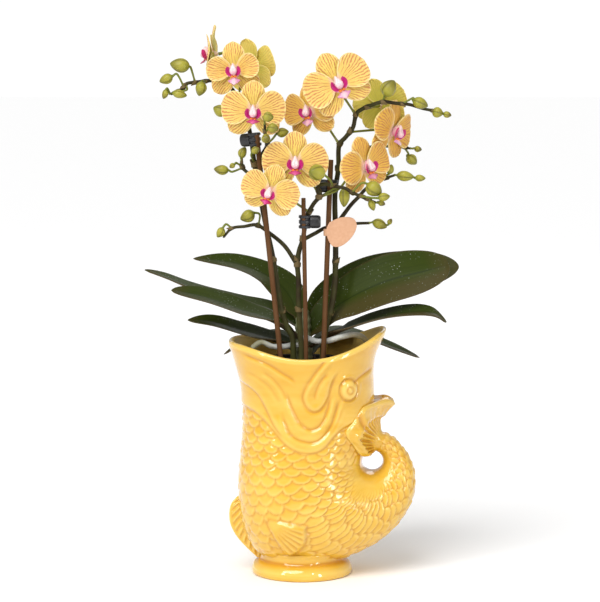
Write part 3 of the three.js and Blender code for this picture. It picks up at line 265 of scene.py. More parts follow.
# The columns are closer together on the two sides, where the face is.
around = full_turn(COLUMNS)[None]
around = around + 0.15 * np.sin(2 * around)
lift = np.where(
    np.cos(around) < 0,
    LOWER_LIP * np.sin(np.pi / 2 * np.cos(around)) ** 2,
    UPPER_LIP * np.cos(around) ** 2,
)
rim_z = RIM_FRONT + lift

inner_turns = np.linspace(HOLLOW_END, TAIL_START, INNER_BELLY_ROWS)[:, None]
inner_belly = belly_ring(inner_turns, around, WALL + 0.6)
inner_share = np.linspace(0.08, 0.985, INNER_NECK_ROWS)[:, None]
inner_neck = neck_ring(LOOP_Z + (rim_z - LOOP_Z) * inner_share, around, WALL)
over_lip = np.linspace(0, np.pi, LIP_ROWS)[:, None]
lip_inset = WALL * (0.5 + 0.5 * np.cos(over_lip))
rim = neck_ring(rim_z - 2.2 + 2.2 * np.sin(over_lip), around, lip_inset)
outer_share = np.linspace(0.965, 0, OUTER_NECK_ROWS)[:, None]
outer_neck = neck_ring(LOOP_Z + (rim_z - LOOP_Z) * outer_share, around, 0)

# Rows of the belly and tail are evenly spaced on their outer side.
turn_fine = np.linspace(TAIL_START, TAIL_END, 400)
outer_fine = through_rows(TAIL, turn_fine)[:, 0]
run = np.r_[0, np.cumsum(np.radians(np.diff(turn_fine)) * outer_fine[1:])]
tail_turns = np.interp(np.linspace(0, run[-1], TAIL_ROWS + 1), run, turn_fine)[1:]
tail = belly_ring(tail_turns[:, None], around, 0)

# The fan flares from the tail's last ring to its edge. Its near and far halves are cupped: they
# stay back for the first half of the way, then fold out into lobes that lie along the head. Its
# edge is then tucked in, and the upper corners stay level and are drawn to the middle.
near = around[0] > np.pi
half_turn = np.where(near, 2 * np.pi - around[0], around[0]) / np.pi
fan_edge = curve_through(FAN_EDGE, half_turn) * np.where(near, 1, -1)[:, None] ** [[0, 1, 0]]
fan_share = (np.arange(1, FAN_ROWS + 1) / FAN_ROWS)[:, None]
waist = 5.4 * (1 - np.cos(around)) * 2 * fan_share * (1 - fan_share)
fold_out = smooth_step(0.08, 0.62, fan_share)
fan = tail[-1] + (fan_edge - tail[-1]) * fan_share[..., None]
fan[..., 1] = tail[-1][:, 1] + (fan_edge - tail[-1])[:, 1] * (0.25 * fan_share + 0.75 * fold_out)
fan[..., 0] -= waist
tucks = []
upper_share = smooth_step(0.48, 0.68, half_turn)
for tuck in (0.12, 0.5, 1.2, 2.0):
    held = fan_edge.copy()
    held[:, 0] -= 6 * tuck * (1 - 0.75 * upper_share)
    held[:, 1] *= 1 - 0.1 * tuck - 0.39 * tuck * smooth_step(0.5, 0.7, half_turn)
    held[:, 2] += (110 - held[:, 2]) * 0.08 * tuck * (1 - 1.15 * upper_share)
    tucks.append(held)

shell = np.concatenate([inner_belly, inner_neck, rim, outer_neck, tail, fan, np.array(tucks)])
OUTSIDE = len(inner_belly) + len(inner_neck) + len(rim)
TAIL_ROW = OUTSIDE + len(outer_neck)
FAN_ROW = TAIL_ROW + len(tail)
ROWS = len(shell)

down_rows = np.gradient(shell, axis=0)
round_rows = (np.roll(shell, -1, 1) - np.roll(shell, 1, 1)) / 2
outward = unit(np.cross(down_rows, round_rows))
body_out = shell[TAIL_ROW, 0] - shell[TAIL_ROW].mean(0)
if np.dot(outward[TAIL_ROW, 0], body_out) < 0:
    outward = -outward

# The carved creases of the face, as x and z, each with its depth and the height of the roll
# beside it. A crease runs so that its roll is on its left.
CREASES = [
    # depth, roll, line
    (0.9, 0.5, [(-3.5, 149), (-8.5, 153), (-16, 157.5), (-23, 162), (-30.5, 165), (-44.5, 169.5)]),
    (0.5, 0.5, [(-10.5, 136), (-13.5, 142), (-17.5, 148), (-22.5, 153), (-29, 157)]),
    (0.3, 0.3, [(-16, 134), (-20.5, 141.5), (-26, 148), (-33.5, 153), (-41, 156)]),
    (1.1, 1.0, [
        (24, 170), (20, 168), (16.5, 165.5), (13, 161), (9.5, 156.5), (6.5, 152), (3.5, 147.5),
        (1.5, 143), (0.3, 139), (1, 135), (3, 131), (6, 128.2), (9.5, 127.3), (13.5, 129),
        (17, 133.5), (19.5, 139), (21, 145.5), (24, 153), (28.5, 159.5),
    ]),
    (0.7, 0.5, [(19.5, 156), (15, 152.5), (11.5, 146.5), (9.5, 140.5), (9, 136)]),
    (1.2, 0.9, [
        (22.5, 141), (20.5, 136.5), (19, 130.5), (17, 124.5), (14.5, 119.5), (11.5, 116), (7, 114.5),
        (3, 115.5), (-1.5, 119.5), (-5, 125.5), (-8, 132), (-10, 138), (-12, 144),
    ]),
    (1.2, 0.9, [
        (28, 138), (26, 132), (24, 125), (21.5, 118), (18.5, 113), (15, 109), (11, 106), (6, 105),
        (0.5, 106), (-4.5, 108), (-9, 112), (-11.5, 117.5), (-13.5, 122.5), (-15, 128),
    ]),
    (0.4, 0.3, [(29, 130), (27, 123), (23, 115.5), (19.5, 110)]),
    (0.8, 0.5, [(52, 157), (49, 155.5), (44.5, 153), (40, 150), (36, 146.5)]),
]
INNER_GILL = [
    (-47.5, 147.5), (-42.5, 146.5), (-38, 144.5), (-34, 141.5), (-30, 137), (-26.5, 130.5),
    (-23.5, 124.5), (-21, 119), (-17.5, 113.5), (-12, 106),
]
GILL_LINE = [
    (-54, 130), (-49, 129.5), (-43.5, 129), (-38, 128), (-33, 125.5), (-28, 121.2), (-22.5, 115.5),
    (-17.5, 109.5), (-13.5, 105), (-8.5, 101), (-1.5, 98.2), (6.5, 97.4), (12.5, 98.8),
    (17.5, 102.5), (21, 107), (24.5, 111), (28.5, 114.3), (32, 116.2), (36.5, 117.8), (45.5, 119.2),
    (60, 120),
]


def beside_line(flat, line):
    """Distance of points of x and z from a smooth line, positive on its left, and the share of
    the line's length where each is nearest."""
    mark = curve_through(line, np.linspace(0, 1, 48))
    start, step = mark[:-1], np.diff(mark, axis=0)
    off = flat[..., None, :] - start
    t = np.clip((off * step).sum(-1) / (step**2).sum(-1), 0, 1)
    distance = np.linalg.norm(off - t[..., None] * step, axis=-1)
    cross = step[:, 0] * off[..., 1] - step[:, 1] * off[..., 0]
    best = distance.argmin(-1)[..., None]
    gap, side, past = [np.take_along_axis(a, best, -1)[..., 0] for a in (distance, cross, t)]
    return gap * np.sign(side), (best[..., 0] + past) / len(start)


def at_least(values, rows, least):
    """Lifts the stored values of some rows to at least the given ones."""
    values[rows] = np.maximum(values[rows], least)


# For each point: how far it is raised along its normal in millimetres, how much it is darkened
# by pooled glaze and painted shade, and how much it is paled by thin glaze and painted highlights.
raised, pool_and_shade, thin_and_lit = np.zeros((3, ROWS, COLUMNS))

face_rows = slice(OUTSIDE, TAIL_ROW)
flat = shell[face_rows][..., [0, 2]]
on_side = smooth_step(0.12, 0.4, np.abs(outward[face_rows][..., 1]))
for depth, roll, line in CREASES:
    beside, share = beside_line(flat, line)
    ends = smooth_step(0, 0.12, share) * smooth_step(1, 0.86, share) * on_side
    raised[face_rows] += ends * (
        roll * bell(beside, 3, 2.3)
        - 0.5 * depth * np.exp(-np.abs(beside) / 2.4)
        - 0.8 * depth * bell(beside, 0, 0.85)
    )
    # Painted shade in each crease and a painted highlight on its roll, with the glaze pooled and
    # thinned there.
    at_least(pool_and_shade, face_rows, np.minimum(1, 1.3 * depth) * ends * bell(beside, 0, 0.8))
    at_least(thin_and_lit, face_rows, 0.5 * roll * ends * bell(beside, 2.0, 0.9))

# The gill cover: the head stands proud of the scales along the gill line, in two steps on the
# side of the jaw.
GILL_STEP = 1.1
beside_gill, _ = beside_line(flat, GILL_LINE)
beside_inner, share = beside_line(flat, INNER_GILL)
inner_ends = smooth_step(0, 0.1, share) * smooth_step(1, 0.8, share) * on_side
for beside, reach_in, ends in ((beside_gill, 9, 1), (beside_inner, 12, inner_ends)):
    proud = smooth_step(-0.8, 0.9, beside) * np.exp(-np.maximum(beside, 0) / reach_in)
    raised[face_rows] += ends * (GILL_STEP * proud - 0.5 * np.exp(-np.abs(beside + 0.9) / 1.2))
    # Painted shade at the foot of the gill's step and a painted highlight on its proud edge, with the
    # glaze pooled and thinned there.
    at_least(pool_and_shade, face_rows, 0.8 * ends * bell(beside, -0.5, 0.8))
    at_least(thin_and_lit, face_rows, 0.35 * ends * bell(beside, 1.5, 1.0))

# The eye: a dome with a ring cut round it and a small ringed pupil.
EYE_X, EYE_Z, EYE_HALF, EYE_TALL = 33.7, 143.3, 6.2, 1.25
eye_off = (flat - [EYE_X, EYE_Z]) / [EYE_HALF, EYE_HALF * EYE_TALL]
eye_r = np.linalg.norm(eye_off, axis=-1)
pupil_r = np.linalg.norm((flat - [EYE_X + 0.2, EYE_Z - 0.1]) / [1, EYE_TALL], axis=-1)
pupil_ring = bell(pupil_r, 2.1, 0.5)
raised[face_rows] += 3.2 * np.clip(1 - eye_r**2, 0, 1) ** 0.45
raised[face_rows] += 0.8 * bell(eye_r, 1.26, 0.14)
raised[face_rows] -= 0.7 * bell(eye_r, 1.06, 0.1)
raised[face_rows] += 0.3 * bell(pupil_r, 0, 1.1) - 0.6 * pupil_ring
# Painted shade in the eye's rings, with glaze pooled there, and a painted highlight over its dome.
at_least(pool_and_shade, face_rows, np.minimum(1, bell(eye_r, 1.05, 0.1) + pupil_ring))
at_least(thin_and_lit, face_rows, 0.7 * smooth_step(0.96, 0.8, eye_r) * (1 - pupil_ring))

# The scales lie like roof tiles in staggered rows, from the gills round the belly to the tail.
# "rows" counts the rows passed on the way to the tail and "places" the scales round the fish.
# Each covers the root of the scales after it, so of those that reach a point, the first shows.
# A row has fewer scales the thinner the fish is there.
SCALES_ROUND = [(180, 26), (220, 26), (250, 22), (270, 19), (300, 16), (340, 13), (400, 11)]
FLOW = slice(OUTSIDE + 26, FAN_ROW)
flow_points = shell[FLOW]
flow_turn = np.r_[np.full(TAIL_ROW - FLOW.start, float(TAIL_START)), tail_turns]
step_down = np.linalg.norm(np.diff(flow_points, axis=0, prepend=flow_points[:1]), axis=-1)
girth = np.linalg.norm(round_rows[FLOW], axis=-1).sum(1)
round_here = through_rows(SCALES_ROUND, flow_turn)[:, 0]
shown = 0.36 * girth / round_here + 1.7
reach = np.linalg.norm(flow_points[..., [0, 2]] - [LOOP_X, LOOP_Z], axis=-1)
half_way = through_rows(TAIL, flow_turn)[:, :1] / 2 + LOOP_RADIUS / 2
lean = np.interp(flow_turn, [180, 232, 262, 290, 330, 400], [0, 0.38, 0.38, 0.25, 0.1, 0])
lean = lean[:, None]
rows_down = np.cumsum(step_down.mean(1) / shown)
rows = rows_down[:, None] + lean * (reach - half_way) / shown[:, None]
from_left = around - np.pi
crowd = np.interp(flow_turn, [180, 300, 380], [0.25, 0.25, 0.05])[:, None]
turn_share = (from_left - crowd * np.sin(from_left)) / (2 * np.pi)
drift = 0.10 * np.sin(1.7 * rows + 2.1 * np.sin(from_left))
row_length = np.clip(step_down / np.maximum(np.gradient(rows, axis=0), 1e-3), 0.4, 14)
carver = np.random.default_rng(5)
WOBBLE_ROWS, WOBBLE_PLACES = 120, 26
wobble = carver.uniform(-1, 1, (3, WOBBLE_ROWS, WOBBLE_PLACES))

ARC = 1.12
tip_of = np.full(rows.shape, np.inf)
edge_off = np.zeros(rows.shape)
lifted = np.zeros(rows.shape)
edge_shade = np.zeros(rows.shape)
for ahead in range(-1, 4):
    row = np.ceil(rows).astype(int) + ahead
    count = np.round(np.interp(row, rows_down, round_here))
    places = count * turn_share + drift
    place_width = girth[:, None] / count
    stagger = 0.5 * (row % 2)
    place = np.round(places - stagger).astype(int)
    at = (slice(None), row % WOBBLE_ROWS, place % count.astype(int))
    along_wobble, aside_wobble, lift_wobble = wobble[at]
    aside = 2 * (places - stagger - place - 0.05 * aside_wobble) / 1.06
    bow = np.sqrt(np.clip(1 - np.abs(aside) ** 2.2, 0.01, 1))
    tip = row + 0.11 * along_wobble
    slope = ARC * row_length * np.abs(aside) / bow * 2 / place_width
    off = (tip - ARC * (1 - bow) - rows) * row_length / np.sqrt(1 + np.minimum(slope, 3) ** 2)
    open_yet = np.isinf(tip_of)
    edge_shade = np.maximum(edge_shade, bell(off, 0, 0.9) * (off <= 0) * open_yet)
    covers = open_yet & (off > 0)
    tip_of[covers] = tip[covers]
    edge_off[covers] = off[covers]
    lifted[covers] = lift_wobble[covers]

SCALE_STEP, SCALE_GROOVE, SCALE_UNEVEN = 1.3, 0.5, 0.12
SCALE_SHOWS = 2.2
rise = 1 - (np.minimum(tip_of, rows + SCALE_SHOWS) - rows) / SCALE_SHOWS
size_share = np.clip(row_length / 5, 0.25, 1)
# The scales fade out round the tail loop, under the gill cover and where they would be too small.
clear_of_loop = np.interp(flow_turn, [180, 212, 235, 280, 315], [17, 18, 28, 26, 16])[:, None]
on_scales = smooth_step(0.55 * clear_of_loop, clear_of_loop, reach)
on_scales *= smooth_step(TAIL_END, TAIL_END - 14, flow_turn)[:, None]
gill_rows = TAIL_ROW - FLOW.start
on_scales[:gill_rows] *= smooth_step(0.2, -1.6, beside_gill[FLOW.start - OUTSIDE:])
on_scales *= 0.15 + 0.85 * smooth_step(1.8, 3.6, row_length)
raised[FLOW] += on_scales * size_share * (
    SCALE_STEP * (rise - 0.5) - SCALE_GROOVE * edge_shade + SCALE_UNEVEN * lifted
)
# Painted shade under each scale's edge, with glaze pooled there, and a painted highlight along the rim
# just inside it.
at_least(pool_and_shade, FLOW, on_scales * edge_shade)
at_least(thin_and_lit, FLOW, 0.6 * on_scales * bell(edge_off, 0.8, 0.7))

# The side fin: a raised fan on the lower belly, with rays from its root.
FIN_ROOT = (-27.4, 47.6)
FIN_SPREAD = (math.radians(-60), math.radians(-8))
FIN_RAYS, FIN_RAY_HEIGHT = 7, 0.8
fin_rows = slice(TAIL_ROW, FAN_ROW)
fin_off = shell[fin_rows][..., [0, 2]] - FIN_ROOT
fin_r = np.linalg.norm(fin_off, axis=-1)
fin_a = np.arctan2(fin_off[..., 1], fin_off[..., 0])
fin_u = (fin_a - FIN_SPREAD[0]) / (FIN_SPREAD[1] - FIN_SPREAD[0])
fin_far = 34 - 3.5 * smooth_step(0.5, 1, fin_u) - 3 * smooth_step(0.25, 0, fin_u)
fin_inside = np.minimum.reduce([
    fin_u * fin_r * 1.08,
    (1 - fin_u) * fin_r * 1.08,
    fin_far - fin_r,
    fin_r - 4,
])
fin_mask = smooth_step(-0.4, 1.3, fin_inside) * (np.abs(outward[fin_rows][..., 1]) > 0.1)
fin_lift = 2.4 * smooth_step(2, 22, fin_r) + 0.7
ray = np.cos(2 * np.pi * FIN_RAYS * fin_u) * smooth_step(9, 17, fin_r)
ray *= smooth_step(0.5, 3.5, fin_inside)
fin_crest = 0.5 * fin_mask * smooth_step(0.4, 1, ray)
fin_rim = bell(fin_inside, 0, 1.0) * (fin_r > 9)
for values in (raised, pool_and_shade, thin_and_lit):
    values[fin_rows] *= 1 - fin_mask
raised[fin_rows] += fin_mask * (fin_lift + FIN_RAY_HEIGHT * ray)
# Painted shade in the valleys between the rays and round the foot of the fin's edge, with glaze pooled
# there, and painted highlights on its rim and on the crests of its rays.
at_least(pool_and_shade, fin_rows, fin_mask * 0.75 * smooth_step(0.1, -1, ray))
at_least(pool_and_shade, fin_rows, bell(fin_inside, -0.9, 0.8))
thin_and_lit[fin_rows] += np.maximum(fin_rim * 0.8, fin_crest)

# The fan: two raised bands where it leaves the tail, rays that fade on the lobes, a crease
# between the upper and the lower lobe, and a thick rounded edge.
FAN_RAYS = 14
fan_rows = slice(FAN_ROW, FAN_ROW + FAN_ROWS)
fan_ray = np.cos(2 * np.pi * FAN_RAYS * half_turn)[None] * smooth_step(0.06, 0.25, fan_share)
fan_ray = fan_ray * (0.12 + 0.88 * smooth_step(0.62, 0.42, fan_share))
fan_ray *= smooth_step(1, 0.9, fan_share)
lobes_meet = bell(half_turn[None], 0.6, 0.028) * smooth_step(0.35, 0.6, fan_share)
edge_roll = smooth_step(0.42, 0.62, fan_share)
horn = 1.2 * edge_roll * smooth_step(0.8, 0.95, half_turn)[None]
raised[fan_rows] = 0.75 * fan_ray - 1.1 * lobes_meet + 2.0 * edge_roll + horn
# Painted shade, with pooled glaze, in the valleys between the rays and in the crease between the lobes,
# and a painted highlight, with thin glaze, along the edge.
pool_and_shade[fan_rows] = np.maximum(0.8 * smooth_step(0.0, -0.8, fan_ray), 0.8 * lobes_meet)
thin_and_lit[fan_rows] = 0.5 * smooth_step(0.9, 1, fan_share)
raised[fan_rows.stop] += 1.2 + horn[-1]
BAND_REACH = 14
from_fan = np.arange(-BAND_REACH, BAND_REACH)[:, None] + 0.5
bands = bell(from_fan, -3, 1.6) + bell(from_fan, -9, 1.6)
band_rows = slice(FAN_ROW - BAND_REACH, FAN_ROW + BAND_REACH)
raised[band_rows] += 0.7 * bands * smooth_step(-0.2, 0.6, half_turn)

# The lip is a little thicker than the wall. It is painted paler, as thin glaze and a painted highlight,
# and the inner wall paler still, as painted light that lifts the shade inside.
LIP_BAND, LIP_TURN = 8, 5
raised[OUTSIDE:OUTSIDE + LIP_BAND] += 0.5 * (1 - np.arange(LIP_BAND)[:, None] / LIP_BAND)
thin_and_lit[OUTSIDE - LIP_TURN:OUTSIDE + 1] = 0.6
thin_and_lit[len(inner_belly):OUTSIDE - LIP_TURN] = 0.9

# The relief is blurred over its neighbours, so that slanting lines run clean.
for values in (raised, pool_and_shade, thin_and_lit):
    values[OUTSIDE:FAN_ROW] = (
        4 * values[OUTSIDE:FAN_ROW]
        + np.roll(values, 1, 1)[OUTSIDE:FAN_ROW] + np.roll(values, -1, 1)[OUTSIDE:FAN_ROW]
        + values[OUTSIDE - 1:FAN_ROW - 1] + values[OUTSIDE + 1:FAN_ROW + 1]
    ) / 8
shell = shell + outward * raised[..., None]


def ring_faces(rows, columns, first):
    """Corners of the squares between rings of points that start at a number, and of the fans
    that close both end rings round two points after the last."""
    r, c = np.meshgrid(np.arange(rows - 1), np.arange(columns), indexing="ij")
    a, b = r * columns + c, r * columns + (c + 1) % columns
    squares = np.stack([a, b, b + columns, a + columns], -1).reshape(-1, 4)
    i = np.arange(columns)
    end = (rows - 1) * columns
    start_fan = np.stack([(i + 1) % columns, i, 0 * i + rows * columns], -1)
    end_fan = np.stack([end + i, end + (i + 1) % columns, 0 * i + rows * columns + 1], -1)
    return (squares + first).tolist() + (start_fan + first).tolist() + (end_fan + first).tolist()


def closed_piece(name, material, parts):
    """A piece at the origin from parts in millimetres. A part is the rings of a closed skin and
    what its finish reads: for each name, a value or a colour for all, each row or each point. A
    part whose volume comes out negative is turned, so that all faces look outwards."""
    points, faces, looks, count = [], [], {}, 0
    for rings, values in parts:
        rows, columns = rings.shape[:2]
        middles = [rings[0].mean(0), rings[-1].mean(0)]
        skin = np.concatenate([rings.reshape(-1, 3), middles]) * MM
        grid = skin[:-2].reshape(rows, columns, 3)
        a, b = grid[:-1], grid[1:]
        middle = skin.mean(0)
        volume = ((a - middle) * np.cross(np.roll(a, -1, 1) - middle, b - middle)).sum()
        corners = ring_faces(rows, columns, count)
        faces += corners if volume > 0 else [face[::-1] for face in corners]
        points.append(skin)
        count += len(skin)
        for label, value in values.items():
            value = np.asarray(value, float)
            value = np.broadcast_to(value, (rows, columns, *value.shape[2:]))
            value = value.reshape(rows * columns, -1)
            ends = [value[:columns].mean(0), value[-columns:].mean(0)]
            looks.setdefault(label, []).append(np.concatenate([value, ends]))
    piece = link_mesh(name, np.concatenate(points), faces, material)
    for label, values in looks.items():
        values = np.concatenate(values).astype(np.float32)
        kind, field = "FLOAT", "value"
        if values.shape[1] > 1:
            kind, field = "FLOAT_COLOR", "color"
            values = np.column_stack([values, np.ones(len(values), np.float32)])
        piece.data.attributes.new(label, kind, "POINT").data.foreach_set(field, values.ravel())
    return piece


# The next helpers add nodes to the material, or the group, that is being made: its nodes, links
# and shader are the last ones named so. Each gives the socket of its result.


def add_node(kind, inputs=None, **settings):
    """A node with its settings, and with a value or the socket that feeds it for each input."""
    node = nodes.new(kind)
    for key, value in settings.items():
        setattr(node, key, value)
    for key, value in (inputs or {}).items():
        if isinstance(value, bpy.types.NodeSocket):
            links.new(value, node.inputs[key])
        else:
            node.inputs[key].default_value = value
    return node


def mixed(share, first, second):
    """A colour between two: (1 - share) of the first and share of the second."""
    ends = [c if isinstance(c, bpy.types.NodeSocket) else (*c, 1) for c in (first, second)]
    values = {0: share, 6: ends[0], 7: ends[1]}
    return add_node("ShaderNodeMix", values, data_type="RGBA").outputs[2]


def ramp(value, low, high, to_low=0.0, to_high=1.0):
    """A value spread from one range to another and held at its ends."""
    values = {0: value, 1: low, 2: high, 3: to_low, 4: to_high}
    return add_node("ShaderNodeMapRange", values).outputs[0]


def arithmetic(operation, *terms):
    """A sum, or another operation, on sockets and numbers."""
    return add_node("ShaderNodeMath", dict(enumerate(terms)), operation=operation).outputs[0]


def times(first, second):
    """A product."""
    return arithmetic("MULTIPLY", first, second)


def read(name):
    """A value stored on the piece's points."""
    return add_node("ShaderNodeAttribute", attribute_name=name).outputs["Fac"]


def here():
    """The place on the piece, in its own coordinates."""
    return add_node("ShaderNodeTexCoord").outputs["Object"]


def noise(scale, detail, place=None, rough=0.5):
    """A noise at the place on the piece, or at another."""
    values = {"Scale": scale, "Detail": detail, "Roughness": rough, "Vector": place or here()}
    return add_node("ShaderNodeTexNoise", values).outputs["Fac"]


def stretched(x, y, z):
    """The place on the piece with its coordinates multiplied, to draw a pattern out."""
    values = {"Vector": here(), "Scale": (x, y, z)}
    return add_node("ShaderNodeMapping", values).outputs[0]


def bump(height, strength, distance):
    """The normal of a relief whose full height is a distance in metres."""
    values = {"Height": height, "Strength": strength, "Distance": distance}
    return add_node("ShaderNodeBump", values).outputs["Normal"]


def feed(values):
    """Sets inputs of the material's shader, each to a value or to a socket that feeds it."""
    for key, value in values.items():
        if isinstance(value, bpy.types.NodeSocket):
            links.new(value, shader.inputs[key])
        else:
            shader.inputs[key].default_value = value


GLAZE = (0.72, 0.395, 0.022)
GLAZE_PALE = (0.80, 0.51, 0.075)
GLAZE_POOLED_AND_SHADED = (0.58, 0.23, 0.004)
GLAZE_THIN_AND_LIT = (0.86, 0.60, 0.14)
GLAZE_NECK = (0.70, 0.37, 0.025)
GLAZE_FOOT = (0.72, 0.43, 0.05)
glaze, nodes, links, shader = new_material("amber_glaze", GLAZE, 0.08)
base = mixed(ramp(noise(60.0, 3.0, stretched(0.7, 0.7, 2.2)), 0.3, 0.7), GLAZE, GLAZE_PALE)
# The glaze is deeper in tone on the neck and paler low on the belly.
height = add_node("ShaderNodeSeparateXYZ", {0: here()}).outputs[2]
for low, high, most, tone in ((0.105, 0.165, 0.6, GLAZE_NECK), (0.07, 0.03, 0.3, GLAZE_FOOT)):
    base = mixed(ramp(height, low, high, 0.0, most), base, tone)
# Paler where the glaze is thin and where highlights are painted; darker where it pools and where shade
# is painted in the carving.
base = mixed(read("thin_and_lit"), base, GLAZE_THIN_AND_LIT)
base = mixed(times(read("pool_and_shade"), 0.9), base, GLAZE_POOLED_AND_SHADED)
# Inside, the glaze has no gloss.
wiped = read("inside")
feed({
    "Base Color": base,
    "Normal": bump(noise(90.0, 2.0), 0.05, 0.0006),
    "Roughness": ramp(wiped, 0.0, 1.0, 0.06, 0.75),
    "Coat Weight": ramp(wiped, 0.0, 1.0, 0.5, 0.0),
    "Coat Roughness": 0.03,
})


def skin_part(rows, drawn_in):
    """Rows of the vase's skin with one end ring drawn in a little, and what the glaze reads."""
    skin = shell[rows].copy()
    skin[drawn_in] += 0.04 * (skin[drawn_in].mean(0) - skin[drawn_in])
    return skin, {"pool_and_shade": pool_and_shade[rows], "thin_and_lit": thin_and_lit[rows]}


# The fan is modelled on its own. It starts a little inside the tail, under the second band.
BODY_END = FAN_ROW - 2
body_skin, looks = skin_part(slice(0, BODY_END + 1), -1)
looks["inside"] = np.arange(BODY_END + 1)[:, None] < OUTSIDE - LIP_TURN
vase_body = closed_piece("vase_body", glaze, [(body_skin, looks)])
tail_fan = closed_piece("vase_tail_fan", glaze, [skin_part(slice(BODY_END - 1, ROWS), 0)])

# The foot: a low ring, turned, with a soft bead round it.
FOOT_PROFILE = [
    (1, 0), (30, 0), (36.2, 0.1), (37.3, 1.2), (37.6, 3), (37.3, 5), (36.5, 7.4), (35, 9.3),
    (33, 10.4), (31.8, 11.4), (31.4, 13.5), (31.6, 16), (32.6, 19), (20, 21), (1, 22),
]


def lathe_rings(radius, height, sides, middle=(0, 0)):
    """Rings of a turned shape from its radius and height at each row or each point."""
    angle = full_turn(sides)[None]
    x = middle[0] + radius * np.cos(angle)
    y = middle[1] + radius * np.sin(angle)
    return points_of(x, y, height)


foot_profile = np.maximum(curve_through(FOOT_PROFILE, np.linspace(0, 1, 60)), 0)
foot_radius, foot_height = np.hsplit(foot_profile, 2)
# Painted shade, with pooled glaze, in the groove above the bead, and a painted highlight on the bead.
looks = {"pool_and_shade": bell(foot_height, 11.6, 1.6), "thin_and_lit": 0.6 * bell(foot_height, 5.5, 1.6)}
vase_foot = closed_piece("vase_foot", glaze, [(lathe_rings(foot_radius, foot_height, 128), looks)])

# The belly fin: a blade along the front of the belly, thick at its root, ribbed across.
BELLY_FIN_ROOT = [
    # x, z, half thickness
    (-37, 60.5, 3), (-40, 52, 4), (-40, 42, 4.2), (-37, 30, 4), (-30, 20, 3.6), (-26, 12, 3),
]
BELLY_FIN_EDGE = [
    (-46.2, 59.4), (-52.2, 53), (-54.4, 45.5), (-53.5, 36), (-48.9, 27), (-42, 19), (-33.5, 10.8),
]
FIN_LENGTH, FIN_ROUND = 120, 48
EDGE_HALF = 1.3
fin_t = np.linspace(0, 1, FIN_LENGTH)[:, None]
fin_angle = full_turn(FIN_ROUND)[None]
root = curve_through(BELLY_FIN_ROOT, fin_t[:, 0])[:, None]
edge = curve_through(BELLY_FIN_EDGE, fin_t[:, 0])[:, None]
out_share = 0.5 - 0.5 * np.cos(fin_angle)
blunt = np.sin(np.pi * np.clip(fin_t, 0.004, 0.996)) ** 0.25
thickness = (EDGE_HALF + (root[..., 2] - EDGE_HALF) * (1 - out_share) ** 1.6) * blunt
rib = 0.6 * np.cos(2 * np.pi * (10 * fin_t - 2.5 * out_share))
rib *= smooth_step(0.25, 0.5, out_share)
rib *= smooth_step(0.92, 0.78, out_share)
fin_x = root[..., 0] + (edge[..., 0] - root[..., 0]) * out_share
fin_y = round_wave(np.sin(fin_angle), 0.6) * (thickness + rib)
fin_z = root[..., 1] + (edge[..., 1] - root[..., 1]) * out_share
# Painted shade, with pooled glaze, in the valleys between the ribs, and painted highlights on the rib
# crests and on the thin edge.
looks = {
    "pool_and_shade": 0.35 * smooth_step(-0.2, -0.55, rib),
    "thin_and_lit": np.maximum(smooth_step(0.9, 1, out_share), 0.7 * smooth_step(0.2, 0.6, rib)),
}
vase_fin = closed_piece("vase_belly_fin", glaze, [(np.stack([fin_x, fin_y, fin_z], -1), looks)])
for piece in (vase_body, tail_fan, vase_foot, vase_fin):
    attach(piece, "root")
    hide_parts("vase")

# ---------------------------------------------------------------- nursery pot
# The thin black plastic pot that the orchid was raised in, blow moulded with upright ribs and a
# rolled lip. It hangs by its lip in the vase's mouth.

POT_LIP_Z, POT_LIP_HEIGHT, POT_WALL = 159, 3, 1.1
POT_FLOOR, POT_BASE_RADIUS, POT_BASE_FLAT = 75, 31, 28
POT_RIBS, POT_RIB_HALF = 24, 0.35
FIT = 0.35


def lip_radius(z):
    """What the inside of the vase's neck leaves at a height, less the air round the pot."""
    ring = neck_ring(np.full((1, 1), float(z)), full_turn(48)[None], WALL)
    return np.hypot(ring[..., 0], ring[..., 1]).min() - FIT


pot_lip_foot = POT_LIP_Z - POT_LIP_HEIGHT
lip_top, lip_foot = lip_radius(POT_LIP_Z), lip_radius(pot_lip_foot)
wall_top = lip_foot - 2.6
POT_PROFILE = [
    (0.5, POT_FLOOR), (POT_BASE_FLAT, POT_FLOOR), (POT_BASE_RADIUS - 0.4, POT_FLOOR + 0.4),
    (POT_BASE_RADIUS, POT_FLOOR + 2), (wall_top - 0.1, pot_lip_foot - 0.2),
    (lip_foot - 0.5, pot_lip_foot), (lip_foot, pot_lip_foot + 0.4),
    (lip_top, POT_LIP_Z - 0.4), (lip_top - 0.5, POT_LIP_Z), (wall_top - POT_WALL + 0.5, POT_LIP_Z),
    (wall_top - POT_WALL, POT_LIP_Z - 0.5), (POT_BASE_RADIUS - POT_WALL, POT_FLOOR + 1.6),
    (POT_BASE_FLAT, POT_FLOOR + 1.5), (0.5, POT_FLOOR + 1.5),
]


def along_profile(profile, steps):
    """Points along a profile of straight runs, with each of its corners kept."""
    profile = np.array(profile, float)
    length = np.r_[0, np.cumsum(np.linalg.norm(np.diff(profile, axis=0), axis=1))]
    at = np.unique(np.r_[length, np.linspace(0, length[-1], steps)])
    return np.stack([np.interp(at, length, profile[:, k]) for k in range(2)], -1)


